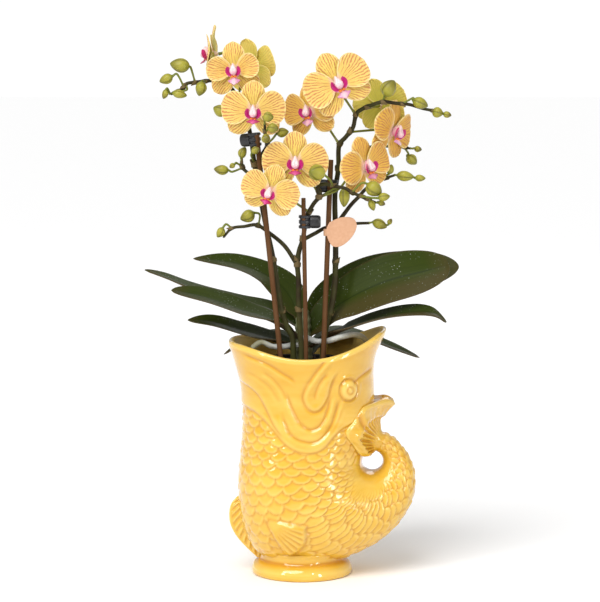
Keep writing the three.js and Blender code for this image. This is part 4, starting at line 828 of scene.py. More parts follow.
pot_radius, pot_height = np.hsplit(along_profile(POT_PROFILE, 70), 2)
side_wall = smooth_step(POT_FLOOR + 2, POT_FLOOR + 8, pot_height)
side_wall = side_wall * smooth_step(155, 150, pot_height)
pot_ribs = POT_RIB_HALF * side_wall * (np.cos(POT_RIBS * full_turn(192)[None]) - 1)
pot_rings = lathe_rings(pot_radius + pot_ribs, pot_height, 192)
pot_plastic, nodes, links, shader = new_material("pot_plastic", (0.018, 0.016, 0.015), 0.45)
scuff = noise(160.0, 4.0)
feed({
    "Base Color": mixed(scuff, (0.012, 0.011, 0.01), (0.03, 0.027, 0.025)),
    "Roughness": ramp(scuff, 0.3, 0.7, 0.35, 0.6),
})
nursery_pot = closed_piece("nursery_pot_shell", pot_plastic, [(pot_rings, {})])
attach(nursery_pot, "root")
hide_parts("nursery_pot")

# ---------------------------------------------------------------- bark
# Chips of pine bark fill the pot. They lie loose and flat on a packed bed, dark and damp, with a
# few paler torn edges.

SOIL_TOP = POT_LIP_Z - 3.5
BED_FOOT, BED_STEPS, BED_SIDES = 77, 40, 96
CHIPS = 150


def inside_pot(z):
    """Radius of the pot's inside at a height."""
    share = (z - POT_FLOOR) / (POT_LIP_Z - POT_FLOOR)
    return POT_BASE_RADIUS + (wall_top - POT_BASE_RADIUS) * share - POT_WALL - 0.8


BED_PROFILE = [
    (0.5, BED_FOOT), (inside_pot(BED_FOOT), BED_FOOT), (inside_pot(SOIL_TOP - 1), SOIL_TOP - 1),
]
inward = np.linspace(inside_pot(SOIL_TOP) - 1, 0.5, BED_STEPS)
domed = SOIL_TOP + 1.2 * np.linspace(0, 1, BED_STEPS) ** 0.5
bed_line = np.concatenate([along_profile(BED_PROFILE, 20), np.stack([inward, domed], -1)])
bed_radius, bed_height = np.hsplit(bed_line, 2)
bed_angle = full_turn(BED_SIDES)[None]
bed_wave = 0.8 * np.sin(5 * bed_angle + bed_radius * 0.5) * np.sin(bed_radius * 0.6 + 2 * bed_angle)
bed_up = bed_height + np.where(bed_height > SOIL_TOP - 0.5, bed_wave - 0.5, 0)

bark_skin, nodes, links, shader = new_material("pine_bark", (0.06, 0.03, 0.015), 0.85)
grain = noise(220.0, 6.0, rough=0.7)
damp = mixed(noise(70.0, 2.0), (0.02, 0.011, 0.007), (0.10, 0.045, 0.02))
feed({
    "Base Color": mixed(ramp(grain, 0.55, 0.75, 0.0, 0.8), damp, (0.20, 0.10, 0.05)),
    "Normal": bump(grain, 0.7, 0.0015),
})
bed_rings = lathe_rings(bed_radius, bed_up, BED_SIDES)
bark_bed = closed_piece("bark_bed", bark_skin, [(bed_rings, {})])


def scattered(shape_points, shape_faces, places):
    """Copies of a shape, each through its own 3 by 4 matrix, as points and faces of one mesh."""
    count = len(shape_points)
    turned = np.einsum("nij,pj->npi", places[:, :, :3], shape_points) + places[:, None, :, 3]
    faces = shape_faces[None] + (np.arange(len(places)) * count)[:, None, None]
    return turned.reshape(-1, 3), faces.reshape(-1, shape_faces.shape[1])


def tumbled(yaw, pitch, roll):
    """Rotation matrices from arrays of angles about z, then y, then x."""
    (cz, sz), (cy, sy), (cx, sx) = [(np.cos(a), np.sin(a)) for a in (yaw, pitch, roll)]
    rows = [
        [cz * cy, cz * sy * sx - sz * cx, cz * sy * cx + sz * sx],
        [sz * cy, sz * sy * sx + cz * cx, sz * sy * cx - cz * sx],
        [-sy, cy * sx, cy * cx],
    ]
    return np.stack([np.stack(row, -1) for row in rows], -2)


# One chip is a flat slab with broken corners: two seven-sided faces, the upper one smaller.
CHIP_SIDES = 7
chip_angle = full_turn(CHIP_SIDES)
chip_reach = np.array([1, 0.8, 1.05, 0.9, 0.75, 1.1, 0.85])
chip_x, chip_y = chip_reach * np.cos(chip_angle), chip_reach * np.sin(chip_angle)
chip_points = np.concatenate([
    points_of(chip_x, 0.6 * chip_y, -0.18),
    points_of(0.8 * chip_reach * np.cos(chip_angle + 0.1), 0.5 * chip_y, 0.12 * chip_reach),
    [[0, 0, -0.2], [0.05, 0, 0.2]],
])
i = np.arange(CHIP_SIDES)
j = (i + 1) % CHIP_SIDES
chip_faces = np.concatenate([
    points_of(i, j, j + CHIP_SIDES), points_of(i, j + CHIP_SIDES, i + CHIP_SIDES),
    points_of(j, i, 2 * CHIP_SIDES), points_of(i + CHIP_SIDES, j + CHIP_SIDES, 2 * CHIP_SIDES + 1),
])
tumble = np.random.default_rng(3)
spread = np.sqrt(tumble.uniform(0.02, 1, CHIPS)) * 33
swing = tumble.uniform(0, 2 * np.pi, CHIPS)
chip_size = tumble.uniform(2.8, 6.2, CHIPS)
chip_z = SOIL_TOP + tumble.uniform(0.3, 3.2, CHIPS)
yaw = tumble.uniform(0, 6.28, CHIPS)
pitch, roll = tumble.normal(0, 0.35, CHIPS), tumble.normal(0, 0.35, CHIPS)
chip_at = points_of(spread * np.cos(swing), spread * np.sin(swing), chip_z)[:, :, None]
chip_places = np.concatenate([tumbled(yaw, pitch, roll) * chip_size[:, None, None], chip_at], -1)
points, faces = scattered(chip_points, chip_faces, chip_places)
bark_chips = link_mesh("bark_chips", points * MM, faces.tolist(), bark_skin, smooth=False)
for piece in (bark_bed, bark_chips):
    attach(piece, "root")
    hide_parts("bark")

# ---------------------------------------------------------------- crown and leaves
# The short stem of the plant, and the thick strap leaves that clasp it in two ranks. A leaf is
# dark green and waxy above, channelled along its midrib, and dull purple brown underneath.

CROWN_X, CROWN_Y = 1, 5
CROWN_PROFILE = [
    (1, 150), (5.6, 150.4), (6.2, 156), (6.7, 165), (6.3, 175), (5.9, 186), (5, 192), (3, 197.4),
    (0.6, 198),
]
LEAF_THICK, LEAF_MARGIN, LEAF_CHANNEL = 1.5, 0.54, 0.22
LEAVES = [
    # name, half width, how pointed, turn about the midrib at root and tip in degrees, how brown
    # one half is, midrib
    ("leaf_left_1", 8.5, 0.6, (0, 10), 0.1, [
        (-2.5, 8, 162), (-12, 28, 170), (-24, 50, 173), (-42, 63, 166), (-60, 64, 155.5),
    ]),
    ("leaf_right_1", 9, 0.62, (2, 24), 0.3, [
        (4.5, 8, 162), (15, 28, 170.5), (31, 52, 174.5), (58, 69, 164.5), (91, 74, 151.5),
    ]),
    ("leaf_left_2", 12, 0.8, (2, 26), 0.1, [
        (-3, 5, 169), (-24, 7, 174.5), (-46, 9, 180.5), (-67, 9, 187), (-85, 7, 189),
    ]),
    ("leaf_right_2", 12, 0.62, (4, 22), 0.6, [
        (4.5, 4, 168), (20, 1.5, 176.5), (32, -6, 183.5), (57, -14, 193), (79, -18, 197.5),
        (95, -18, 197), (106, -15, 190),
    ]),
    ("leaf_left_3", 16.5, 0.62, (8, 22), 0.25, [
        (-2.5, 3, 175), (-22, -3, 189), (-46, -9, 198), (-71, -13, 207.5), (-96, -13, 213.5),
    ]),
    ("leaf_right_3", 19, 0.56, (46, 60), 0.1, [
        (4, 9, 183), (21, 19, 201), (51, 25, 216), (84, 22, 222.5), (117, 16, 228),
    ]),
    ("leaf_right_4", 19.5, 0.44, (52, 66), 0.55, [
        (4.5, 4, 178), (18.5, 2.5, 192.5), (34, -3.5, 205.5), (61, -8, 219), (90, -10, 227),
        (108, -9, 232),
    ]),
    ("leaf_left_4", 12, 0.75, (6, 12), 0.15, [
        (-1.5, 8.5, 182.5), (-24, 20.5, 195), (-50, 23, 201), (-82, 20, 211), (-102, 16, 220),
        (-117, 12, 226),
    ]),
    ("leaf_left_5", 13, 0.8, (28, 20), 0.15, [
        (-0.5, 8, 190), (-12, 24, 208), (-26, 32, 219), (-50, 35, 228), (-82, 32, 232.5),
    ]),
]
LEAF_ROWS, LEAF_COLUMNS = 90, 30


def thick_blade(middle, thickness):
    """Rings round a thin blade, from a grid of points of its middle surface: each row becomes one
    ring, which runs along one face and back along the other, half the thickness off either way."""
    across, down = np.gradient(middle, axis=1), np.gradient(middle, axis=0)
    normal = unit(np.cross(across, down))
    off = normal * thickness[..., None] / 2
    return np.concatenate([middle + off, (middle - off)[:, ::-1]], axis=1)


def blade_looks(middle, faced, **values):
    """What a thick blade's finish reads: values spread over its grid and carried to both faces,
    and under the name faced, 1 on the face that looks up z and 0 on the other."""
    shape = middle.shape[:2]
    normal = np.cross(np.gradient(middle, axis=1), np.gradient(middle, axis=0))
    up = np.full(shape, float(normal[..., 2].mean() > 0))
    looks = {label: both_faces(np.broadcast_to(value, shape)) for label, value in values.items()}
    looks[faced] = both_faces(up, 1 - up)
    return looks


def both_faces(front, back=None):
    """Values on the two faces of a thick blade, in the order of its rings."""
    back = front if back is None else back
    return np.concatenate([front, back[:, ::-1]], axis=1)


def leaf_middle(points, half_width, pointed, turn, u, v):
    """A leaf's middle surface: out from the midrib by u times the outline, which is clasped at
    the root and widest past half its length, and up by the channel's fold."""
    spine = curve_through(points, v)
    forward = unit(np.gradient(spine, axis=0))
    flat = unit(np.cross([0.0, 0, 1], forward))
    flat *= np.where(flat[:, 1:2] < 0, -1, 1)
    angle = np.radians(turn[0] + (turn[1] - turn[0]) * v) * np.where(forward[:, 0] < 0, -1, 1)
    side = flat * np.cos(angle)[:, None] + np.cross(forward, flat) * np.sin(angle)[:, None]
    up = np.cross(side, forward)
    up *= np.where(up[:, 2:] < 0, -1, 1)
    clasp = 4.6 / half_width * (1 - smooth_step(0, 0.35, v))
    tip = np.clip(1 - v, 0, 1) / 0.39
    half = half_width * np.maximum(clasp * np.clip(tip * 8, 0, 1), (v / 0.61) ** 0.6 * tip**pointed)
    fold = LEAF_CHANNEL * (1 + 1.2 * (1 - smooth_step(0, 0.4, v)))
    wave = 0.5 * np.sin(9 * v + half_width)[:, None] * u[None] * np.abs(u[None])
    rise = fold[:, None] * half[:, None] * np.abs(u)[None] ** 1.2
    rise = rise + wave * smooth_step(0.2, 0.6, v)[:, None]
    across = half[:, None] * u[None]
    return spine[:, None] + side[:, None] * across[..., None] + up[:, None] * rise[..., None]


# The leaf's finish: streaks along it and painted shade along the sunk midrib on the upper face,
# a brown flush over one half, dull purple brown underneath, and white dust lying in patches.
LEAF_GREEN, LEAF_DEEP = (0.027, 0.041, 0.003), (0.013, 0.021, 0.002)
LEAF_PALE = (0.046, 0.066, 0.006)
LEAF_BROWN, LEAF_UNDER, LEAF_DUST = (0.072, 0.046, 0.018), (0.14, 0.098, 0.062), (0.36, 0.38, 0.33)
leaf_skin, nodes, links, shader = new_material("leaf_skin", LEAF_GREEN, 0.42)
across, along = read("across"), read("along")
grid = add_node("ShaderNodeCombineXYZ", {0: times(across, 22.0), 1: times(along, 2.2)})
streak = noise(1.0, 3.0, grid.outputs[0])
green = mixed(streak, LEAF_DEEP, LEAF_PALE)
green = mixed(ramp(noise(28.0, 2.0), 0.3, 0.7, 0.0, 0.7), green, LEAF_GREEN)
from_rib = arithmetic("ABSOLUTE", across)
# Painted shade along the midrib, where the channel folds.
green = mixed(ramp(from_rib, 0.0, 0.055, 0.85, 0.0), green, LEAF_DEEP)
# Brown over one half of the upper face, from the midrib out, as much as the leaf's share.
flush = times(ramp(across, -0.02, -0.5), read("brown_half"))
green = mixed(arithmetic("MAXIMUM", flush, ramp(along, 0.86, 1.0, 0.0, 0.5)), green, LEAF_BROWN)
green = mixed(ramp(from_rib, 0.93, 1.0, 0.0, 0.6), green, LEAF_BROWN)
speck = add_node("ShaderNodeTexVoronoi", {"Scale": 480.0, "Randomness": 1.0, "Vector": here()})
dusty = ramp(speck.outputs["Distance"], 0.10, 0.19, 1.0, 0.0)
dusty = times(dusty, ramp(noise(60.0, 3.0), 0.44, 0.62, 0.0, 0.8))
under = mixed(times(streak, 0.5), LEAF_UNDER, LEAF_GREEN)
feed({
    "Base Color": mixed(read("upper"), under, mixed(dusty, green, LEAF_DUST)),
    "Normal": bump(streak, 0.25, 0.0004),
    "Specular IOR Level": 0.06,
    "Coat Weight": 0.03,
    "Coat Roughness": 0.3,
})

v = 0.5 - 0.5 * np.cos(np.pi * np.linspace(0, 1, LEAF_ROWS) ** 0.85)
v = np.clip(v, 0.0, 0.9995)
u = np.sin(np.linspace(-np.pi / 2, np.pi / 2, LEAF_COLUMNS))
thickness = LEAF_MARGIN + (LEAF_THICK - LEAF_MARGIN) * (1 - u**2) ** 0.5
thickness = thickness[None] * smooth_step(-0.01, 0.03, 1 - v)[:, None]
for name, half_width, pointed, turn, brown_half, points in LEAVES:
    middle = leaf_middle(points, half_width, pointed, turn, u, v)
    looks = blade_looks(middle, "upper", across=u[None], along=v[:, None])
    looks["brown_half"] = brown_half
    leaf_piece = closed_piece(f"{name}_blade", leaf_skin, [(thick_blade(middle, thickness), looks)])
    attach(leaf_piece, "root")
    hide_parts(name)

# The crown is ringed by the scars of old leaves and ridged upright.
CROWN_SIDES = 40
crown_radius, crown_height = np.hsplit(curve_through(CROWN_PROFILE, np.linspace(0, 1, 60)), 2)
crown_ridge = 0.35 * np.sin(crown_height * 1.1) + 0.2 * np.sin(6 * full_turn(CROWN_SIDES))
crown_radius = crown_radius + crown_ridge * smooth_step(1, 4, crown_radius)
crown_rings = lathe_rings(crown_radius, crown_height, CROWN_SIDES, (CROWN_X, CROWN_Y))
crown_skin, nodes, links, shader = new_material("crown_skin", (0.12, 0.14, 0.05), 0.6)
feed({"Base Color": mixed(noise(120.0, 4.0), (0.05, 0.07, 0.025), (0.26, 0.27, 0.14))})
crown = closed_piece("crown_stem", crown_skin, [(crown_rings, {})])
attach(crown, "root")
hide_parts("crown")

# ---------------------------------------------------------------- air roots
# Fat roots that wander over the bark and out into the air. Dry, their spongy skin is silver grey,
# dented and faintly ringed; it is greener where it is young.

ROOTS = [
    # name, radius, how green it is towards its tip, way
    ("air_root_left", 2.0, 0.7, [
        (-1.1, -1.4, 171.2), (-3.5, -5.8, 171.8), (-8, -7.6, 172), (-13, -10.5, 171.5),
        (-22, -13.5, 172), (-30, -13, 175), (-37.5, -13, 170.5),
    ]),
    ("air_root_right", 2.1, 0.15, [
        (2.2, -2.1, 177), (6, -9.5, 177), (10.5, -14.8, 176), (19, -15.6, 176.5), (29, -13, 179),
        (37, -7.5, 180), (44.5, -1, 177.5), (48.8, 4, 172.5),
    ]),
]
ROOT_SILVER, ROOT_GREY, ROOT_GREEN = (0.46, 0.47, 0.43), (0.20, 0.20, 0.17), (0.19, 0.18, 0.05)
ROOT_FELT = (0.58, 0.59, 0.56)
ROOT_ROWS, ROOT_SIDES = 110, 20


def tube_rings(points, radius, sides, rows):
    """Rings of a round rod along a smooth curve through the points, with a radius for each row or
    point. One fixed lead vector sets each ring's first side, so that the rod hardly twists."""
    spine = curve_through(points, np.linspace(0, 1, rows))
    forward = unit(np.gradient(spine, axis=0))
    lead = np.array([0.31, 0.87, 0.39])
    side = unit(lead - (forward @ lead)[:, None] * forward)
    other = np.cross(forward, side)
    angle = full_turn(sides)[None, :, None]
    rim = side[:, None] * np.cos(angle) + other[:, None] * np.sin(angle)
    radius = np.broadcast_to(np.asarray(radius, float).reshape(rows, -1), (rows, sides))
    return spine[:, None] + rim * radius[..., None]


share = np.linspace(0, 1, ROOT_ROWS)[:, None]
angle = full_turn(ROOT_SIDES)[None]
for number, (name, radius, greened, points) in enumerate(ROOTS):
    dent = 1 + 0.05 * np.sin(31 * share + number) + 0.05 * np.sin(2 * angle + 9 * share)
    dent += 0.03 * np.sin(170 * share + 3 * np.sin(angle))
    tip = np.sqrt(np.clip(1 - np.clip((share - 0.96) / 0.041, 0, 1) ** 2, 0.01, 1))
    rings = tube_rings(points, radius * dent * tip, ROOT_SIDES, ROOT_ROWS)
    root_skin, nodes, links, shader = new_material(f"{name}_skin", ROOT_SILVER, 0.75)
    felt = noise(260.0, 5.0)
    grey = mixed(ramp(noise(55.0, 2.0), 0.38, 0.62), ROOT_GREY, ROOT_SILVER)
    young = ramp(read("along"), 0.6, 0.78, 0.0, greened)
    feed({
        "Base Color": mixed(young, mixed(felt, grey, ROOT_FELT), ROOT_GREEN),
        "Normal": bump(felt, 0.8, 0.001),
    })
    root_piece = closed_piece(f"{name}_tube", root_skin, [(rings, {"along": share})])
    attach(root_piece, "root")
    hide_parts(name)

# ---------------------------------------------------------------- flower spikes
# Three wiry spikes that fork and zigzag from joint to joint, dark brownish green with a dry tan
# scale at each joint. Buds and flowers hang on smooth pale green stalks.

# A branch has its radius at its root and at its tip, and its way. A bud has the root and the knee
# of its stalk, its middle, its length, its radius and the way it points. A carried bloom has its
# place in BLOOMS and the first points of its stalk.
SPIKES = [
    {
        "name": "spike_left",
        "branches": [
            (2.1, 1.1, [
                (-6.5, -12.5, 160), (-7, -12, 177.5), (-10.5, -13, 185.5), (-14.5, -14.5, 197),
                (-17.5, -16, 212.5), (-21.5, -16.5, 238.5), (-26.5, -17, 262), (-31.5, -17.5, 287.5),
                (-34.6, -17.6, 306), (-37, -17.5, 324), (-40, -15, 338), (-45.5, -8, 352),
                (-53.5, -5, 363), (-61, -6, 366.5), (-69.5, -7, 366.5), (-78, -8, 365.5),
                (-84, -9, 364.5), (-87, -10, 360.5), (-91, -10, 359.5), (-96, -10, 356.5),
            ]),
            (1.4, 0.9, [
                (-34.4, -17.6, 305), (-29.5, -15.8, 313), (-26, -20, 319), (-25.5, -29, 322),
                (-26.5, -38, 328), (-26.8, -41, 337),
            ]),
            (1.4, 0.9, [
                (-32.8, -17.6, 294), (-38, -14, 298.5), (-43, -12, 303), (-44.5, -12, 308.5),
            ]),
        ],
        "buds": [
            ((-78, -8, 365.5), (-81, -9, 376), (-89, -10, 378), 14, 5.4, (-1, 0, 0.15)),
            ((-86, -10, 362), (-91, -11, 371.5), (-99, -12, 368), 10, 3.8, (-0.9, 0, -0.4)),
            ((-84.5, -9.5, 363), (-84, -13, 360), (-89, -14, 357), 10.5, 3.2, (0.95, 0, -0.2)),
            ((-96, -10, 356.8), (-98, -11, 361), (-100, -12, 357), 7, 2.4, (-0.3, 0, -1)),
            ((-70, -7, 366.5), (-71, -10, 366), (-74, -13, 361), 10.5, 4.2, (-0.2, 0, -1)),
            ((-41.5, -13, 342), (-50, -10, 343), (-60, -10, 345), 10, 4.6, (-0.6, 0, 0.3)),
            ((-26.8, -40.5, 336), (-27, -41.5, 339.5), (-24, -43.5, 341.5), 7.6, 3.8, (0.8, -0.4, 0)),
            ((-26.6, -39, 331), (-24.5, -41, 332.5), (-20.5, -43, 333.5), 7.6, 3.6, (0.8, -0.4, -0.1)),
            ((-26, -34, 325), (-27.5, -38, 325), (-25.5, -42.5, 326), 6.6, 3.4, (0.5, -0.8, 0)),
            ((-25.6, -25, 320.8), (-21, -25, 325.5), (-14, -24, 329.5), 8.6, 3.6, (1, 0, 0.2)),
            ((-34.8, -17.8, 307.5), (-36.8, -24, 313), (-33.5, -28.5, 317), 6.6, 2.8, (0.6, -0.5, 0.4)),
            ((-43.2, -12, 303.5), (-51, -12, 300.5), (-59, -12, 302), 10.5, 3.7, (-1, 0, 0.1)),
            ((-44.5, -12, 308), (-44.3, -12, 310.5), (-43, -12, 314.5), 8.6, 3.2, (0.4, 0, 1)),
            ((-44, -12, 304.5), (-48, -13, 307), (-51, -14, 305), 4.4, 2, (-0.6, 0, -0.4)),
        ],
        "carries": [
            (0, [(-61, -6, 366.5)]),
            (1, [(-53.5, -5, 363)]),
            (2, [(-46.3, -7.5, 353.5)]),
            (3, [(-39, -15.5, 335)]),
        ],
    },
    {
        "name": "spike_middle",
        "branches": [
            (2.1, 1, [
                (-0.5, -15, 159), (-0.5, -15, 169.5), (-1.5, -15.5, 184.5), (-2.5, -16, 206.5),
                (-2.5, -16, 220), (-3.5, -16, 234), (-2, -16.8, 243.5), (0.5, -17.2, 251),
                (2, -17.4, 260.5), (4.5, -17.8, 270), (8, -19, 277), (12.5, -21, 283.5),
                (11.5, -24, 290.5), (16.5, -27, 292.5), (22, -29, 291.3), (31, -33, 289.8),
                (36, -34, 286.8), (42, -34, 284.3), (47, -33, 281.8), (53.5, -33, 279.3),
            ]),
            (1.6, 0.9, [
                (-3.3, -16, 232), (-12.5, -14, 246), (-23.5, -12, 255.3), (-33, -10.5, 261.3),
                (-42, -10, 260.3), (-51.5, -10, 258.8), (-58, -11, 252),
            ]),
            (1.5, 1, [
                (0.6, -17.2, 251), (9.5, -14, 255.5), (17.5, -9, 259.3), (28, -5.5, 260.8),
                (40.5, -8, 262.3), (50, -10, 262.8),
            ]),
        ],
        "buds": [
            ((-32, -10.5, 260.9), (-31, -11, 269), (-40, -12, 268), 11, 4.7, (-0.85, 0, -0.4)),
            ((-51.5, -10, 258.8), (-55.5, -11, 262), (-60, -12, 256), 8, 3.2, (-0.5, 0, -0.85)),
            ((49, -10, 262.8), (52, -10, 263.5), (57, -10, 261.8), 11, 3.8, (0.9, 0, -0.35)),
            ((57, -10, 262), (61, -10, 261.3), (64.5, -10, 263.8), 4.6, 1.9, (0.5, 0, 0.8)),
            ((22, -29, 291.3), (20.5, -38, 295.5), (10.5, -46, 302), 13, 6, (-0.6, -0.6, 0.15)),
            ((12.3, -21, 282.5), (24, -23, 289), (30.5, -24, 282.5), 13.5, 4, (0, 0, -1)),
            ((36, -34, 286.8), (43, -36, 293.8), (52, -37.5, 289.5), 12.5, 5.6, (0.7, -0.2, -0.5)),
            ((42, -34, 284.3), (50, -41, 283.5), (59, -41, 284), 8.4, 3.1, (1, 0, 0.15)),
            ((47, -33, 281.8), (48.5, -33.5, 281), (50.5, -34, 277.5), 8, 2.7, (0.35, 0, -0.9)),
            ((53, -33, 279.5), (55, -33, 279.3), (57.5, -33, 279), 5.4, 2.2, (0.9, 0, -0.3)),
        ],
        "carries": [
            (6, [(12, -21.5, 286)]),
            (7, [(5, -18, 271.5)]),
            (8, [(12.3, -21, 282.5), (26, -22, 288), (34, -16, 297.5)]),
        ],
    },
    {
        "name": "spike_right",
        "branches": [
            (2.3, 1, [
                (15, -8.5, 157.5), (15.8, -9.5, 173.5), (17.2, -11, 185), (19, -12, 192),
                (22, -12.6, 203.5), (24, -12.4, 218), (24.5, -11.6, 232), (24.6, -10.6, 243),
                (24.4, -9.8, 261), (24, -9.4, 274.5), (24.3, -10, 287), (26.5, -12, 303),
                (27, -12, 319.5), (32, -11.5, 326), (37, -11, 332.5), (39.5, -10.5, 342.5),
                (43.5, -11, 346), (49, -12.5, 348.5), (58.5, -14.5, 351.5), (68, -14.5, 350.5),
                (78, -13, 349.5), (88, -11, 346.5), (95, -9.5, 345), (103, -9, 343),
            ]),
            (1.6, 0.9, [
                (24.4, -9.6, 261), (29, -5, 266.5), (36, -1.5, 275.5), (42, 1, 281.5),
                (46.5, 2, 286.5), (53, 2.5, 291), (60.5, 2, 294.5), (69, 0.5, 297.5),
            ]),
            (1.5, 0.8, [
                (26.4, -11.9, 302.5), (33, 3, 309.5), (45, 15, 316), (57, 18, 317.5),
                (70, 18.5, 317.3), (81, 16.5, 316),
            ]),
        ],
        "buds": [
            ((58.5, -14.5, 351.5), (60, -15.5, 356), (63.5, -17, 361.5), 13, 5.8, (0.5, -0.2, 0.85)),
            ((73, -13.7, 350.1), (81, -15.5, 354.5), (86, -15.5, 350.5), 11.5, 4.2, (0.85, 0, -0.35)),
            ((95, -9.5, 345), (96.5, -9.5, 344.8), (99, -9.5, 343.5), 8, 4, (0.9, 0, -0.2)),
            ((101, -9, 343.6), (103, -9, 343), (106, -9, 342), 6, 2.5, (1, 0, -0.2)),
            ((68, 0.5, 297.3), (71, 0, 297.5), (76, 0, 296.5), 12.5, 3.9, (1, 0, -0.1)),
            ((76, 0, 296.5), (82, 0.5, 295.8), (87, 1, 295), 7.6, 2.6, (1, 0, -0.05)),
            ((61, 2, 295), (63, 2, 297.5), (65, 2, 301.5), 7, 3.4, (0.3, 0, 1)),
            ((76, 17.4, 316.5), (79, 18, 312), (81.5, 17, 307.5), 9, 4, (0.7, 0, -0.6)),
            ((80, 16.7, 316.1), (82.5, 16.5, 316), (86, 16.5, 315.6), 5.6, 2.4, (1, 0, -0.2)),
        ],
        "carries": [
            (4, [(26.9, -12, 321)]),
            (5, [(39.3, -10.6, 341.5)]),
            (9, [(34.6, -11.2, 329.4)]),
            (10, [(47, -12, 347.8)]),
        ],
    },
]
BLOOMS = [
    # place, direction faced, roll in degrees, size, orange tinge, droop of the lip, paleness of it
    ((-65.5, 4.5, 386), (-0.99, 0.1, 0), 0, 0.93, 0.8, 30, 0.2),
    ((-49, -20, 374), (-0.12, -1, 0.04), 4, 0.94, 0.35, 68, 0.75),
    ((-37, 3, 376), (0.62, 0.78, 0.06), -6, 0.95, 0.2, 30, 0.3),
    ((-35, -30, 345), (-0.05, -1, -0.12), 0, 1, 0.25, 28, 0.1),
    ((6, -12, 344), (-0.5, -0.84, 0), 8, 0.95, 0.75, 62, 0.7),
    ((25.8, -26, 364.5), (0.1, -1, 0.05), 28, 1.09, 0.3, 62, 0.75),
    ((-5, -33, 308), (0, -1, -0.06), 0, 1.02, 0.25, 28, 0.1),
    ((-23, -36, 287.5), (-0.25, -0.93, -0.2), -18, 0.93, 0.2, 30, 0.0),
    ((46, -19, 304.5), (0.62, -0.75, 0.02), 13, 1, 0.9, 40, 0.5),
    ((66, 1, 329), (0.8, -0.58, -0.12), -12, 1.04, 1.0, 35, 1.0),
    ((58, 15, 348.5), (0.3, 0.92, 0.12), -16, 0.9, 0.4, 30, 0.3),
]
BLOOM_BACK, BLOOM_FRONT = -4.2, 1.1


def bloom_axes(bloom):
    """A bloom's place and the rows of its frame, scaled by its size: x to its right, y up its
    back sepal, z out of its face."""
    at, face, roll, size = bloom[:4]
    z = unit(np.array(face, float))
    up = unit(np.array([0, 0, 1]) - z[2] * z)
    roll = math.radians(roll)
    y = up * math.cos(roll) + np.cross(z, up) * math.sin(roll)
    return np.array(at, float), np.stack([np.cross(y, z), y, z]) * size


def nearest_share(spine, point):
    """The share of a row of points at which it passes nearest to a point, and that distance."""
    distance = np.linalg.norm(spine - np.array(point, float), axis=-1)
    return distance.argmin() / (len(spine) - 1), distance.min()


def square_to(axis, lead):
    """Two unit vectors square to an axis and to each other, the first also square to lead."""
    side = unit(np.cross(axis, lead))
    return side, np.cross(axis, side)


def bract(spine, share, radius, turn):
    """The dry scale at a joint: a pointed sheath that wraps two thirds of the stem and stands a
    little off it at its tip. Its middle surface is a cylinder whose width falls to the tip."""
    rows, columns, length = 8, 12, 4.6
    v = np.linspace(0, 1, rows)[:, None]
    u = np.linspace(-1, 1, columns)[None]
    row = int(round(share * (len(spine) - 1)))
    ahead = unit(spine[min(row + 2, len(spine) - 1)] - spine[max(row - 2, 0)])
    side, other = square_to(ahead, [0.2, 0.9, 0.3])
    angle = turn + 2.1 * u * (1 - v**1.6)
    reach = radius + 0.1 + 0.7 * v**2
    middle = (
        spine[row]
        + ahead * (length * (v + 0 * u) - 1.2)[..., None]
        + side * (reach * np.cos(angle))[..., None]
        + other * (reach * np.sin(angle))[..., None]
    )
    return thick_blade(middle, np.full((rows, columns), 0.3))


def bud_rings(at, axis, length, radius, turn):
    """A bud: an egg round its axis, blunt where the stalk joins and drawn out at the tip, with
    a seam between each two of its three sepals and a keel along each. Also gives the share of
    its length at each row, and how near each column is to a seam."""
    v = np.linspace(0, 1, 26)[:, None]
    profile = np.sin(np.pi * np.clip(v, 0.003, 0.999) ** 0.86) ** 0.62 * (1 - 0.12 * v)
    angle = full_turn(42)
    lobe = np.cos(1.5 * (angle + turn))[None]
    seam = bell(lobe, 0, 0.2)
    shape = 1 - 0.13 * seam + 0.05 * np.abs(lobe) ** 6
    side, other = square_to(axis, [0.3, 0.2, 0.93])
    spine = at + axis * (v - 0.5) * length + side * 0.05 * length * np.sin(np.pi * v)
    rim = side * np.cos(angle)[:, None] + other * np.sin(angle)[:, None]
    around = radius * profile * (1 + (shape - 1) * np.sin(np.pi * v) ** 0.5)
    return spine[:, None] + rim[None] * around[..., None], v, seam


def stalk(way, places, widths, rows, swell, tone):
    """A stalk along a way, with a radius at each of some shares of its length, and what its
    finish reads: its tone falls from the square of the given one at its root to 0."""
    rings = tube_rings(way, np.interp(np.linspace(0, 1, rows), places, widths), 12, rows)
    return rings, {"swell": swell, "seam": 0, "tone": np.linspace(tone, 0, rows)[:, None] ** 2}


def uneven(scale, low, high, relief):
    """Places the group for the unevenness of a grown surface; gives its mask and its normal."""
    values = {"Scale": scale, "Low": low, "High": high, "Relief": relief}
    group = add_node("ShaderNodeGroup", values, node_tree=uneven_tree)
    return group.outputs["Mask"], group.outputs["Normal"]


# Unevenness: noise on the piece's own coordinates, spread between Low and High into Mask, and
# raised by Relief, in metres, into Normal.
uneven_tree = bpy.data.node_groups.new("unevenness", "ShaderNodeTree")
for label, value in (("Scale", 100.0), ("Low", 0.3), ("High", 0.7), ("Relief", 0.0003)):
    socket = uneven_tree.interface.new_socket(label, in_out="INPUT", socket_type="NodeSocketFloat")
    socket.default_value = value
uneven_tree.interface.new_socket("Mask", in_out="OUTPUT", socket_type="NodeSocketFloat")
uneven_tree.interface.new_socket("Normal", in_out="OUTPUT", socket_type="NodeSocketVector")
nodes, links = uneven_tree.nodes, uneven_tree.links
entry = add_node("NodeGroupInput").outputs
lumps = noise(entry["Scale"], 4.0)
add_node("NodeGroupOutput", {
    "Mask": ramp(lumps, entry["Low"], entry["High"]),
    "Normal": bump(lumps, 0.5, entry["Relief"]),
})

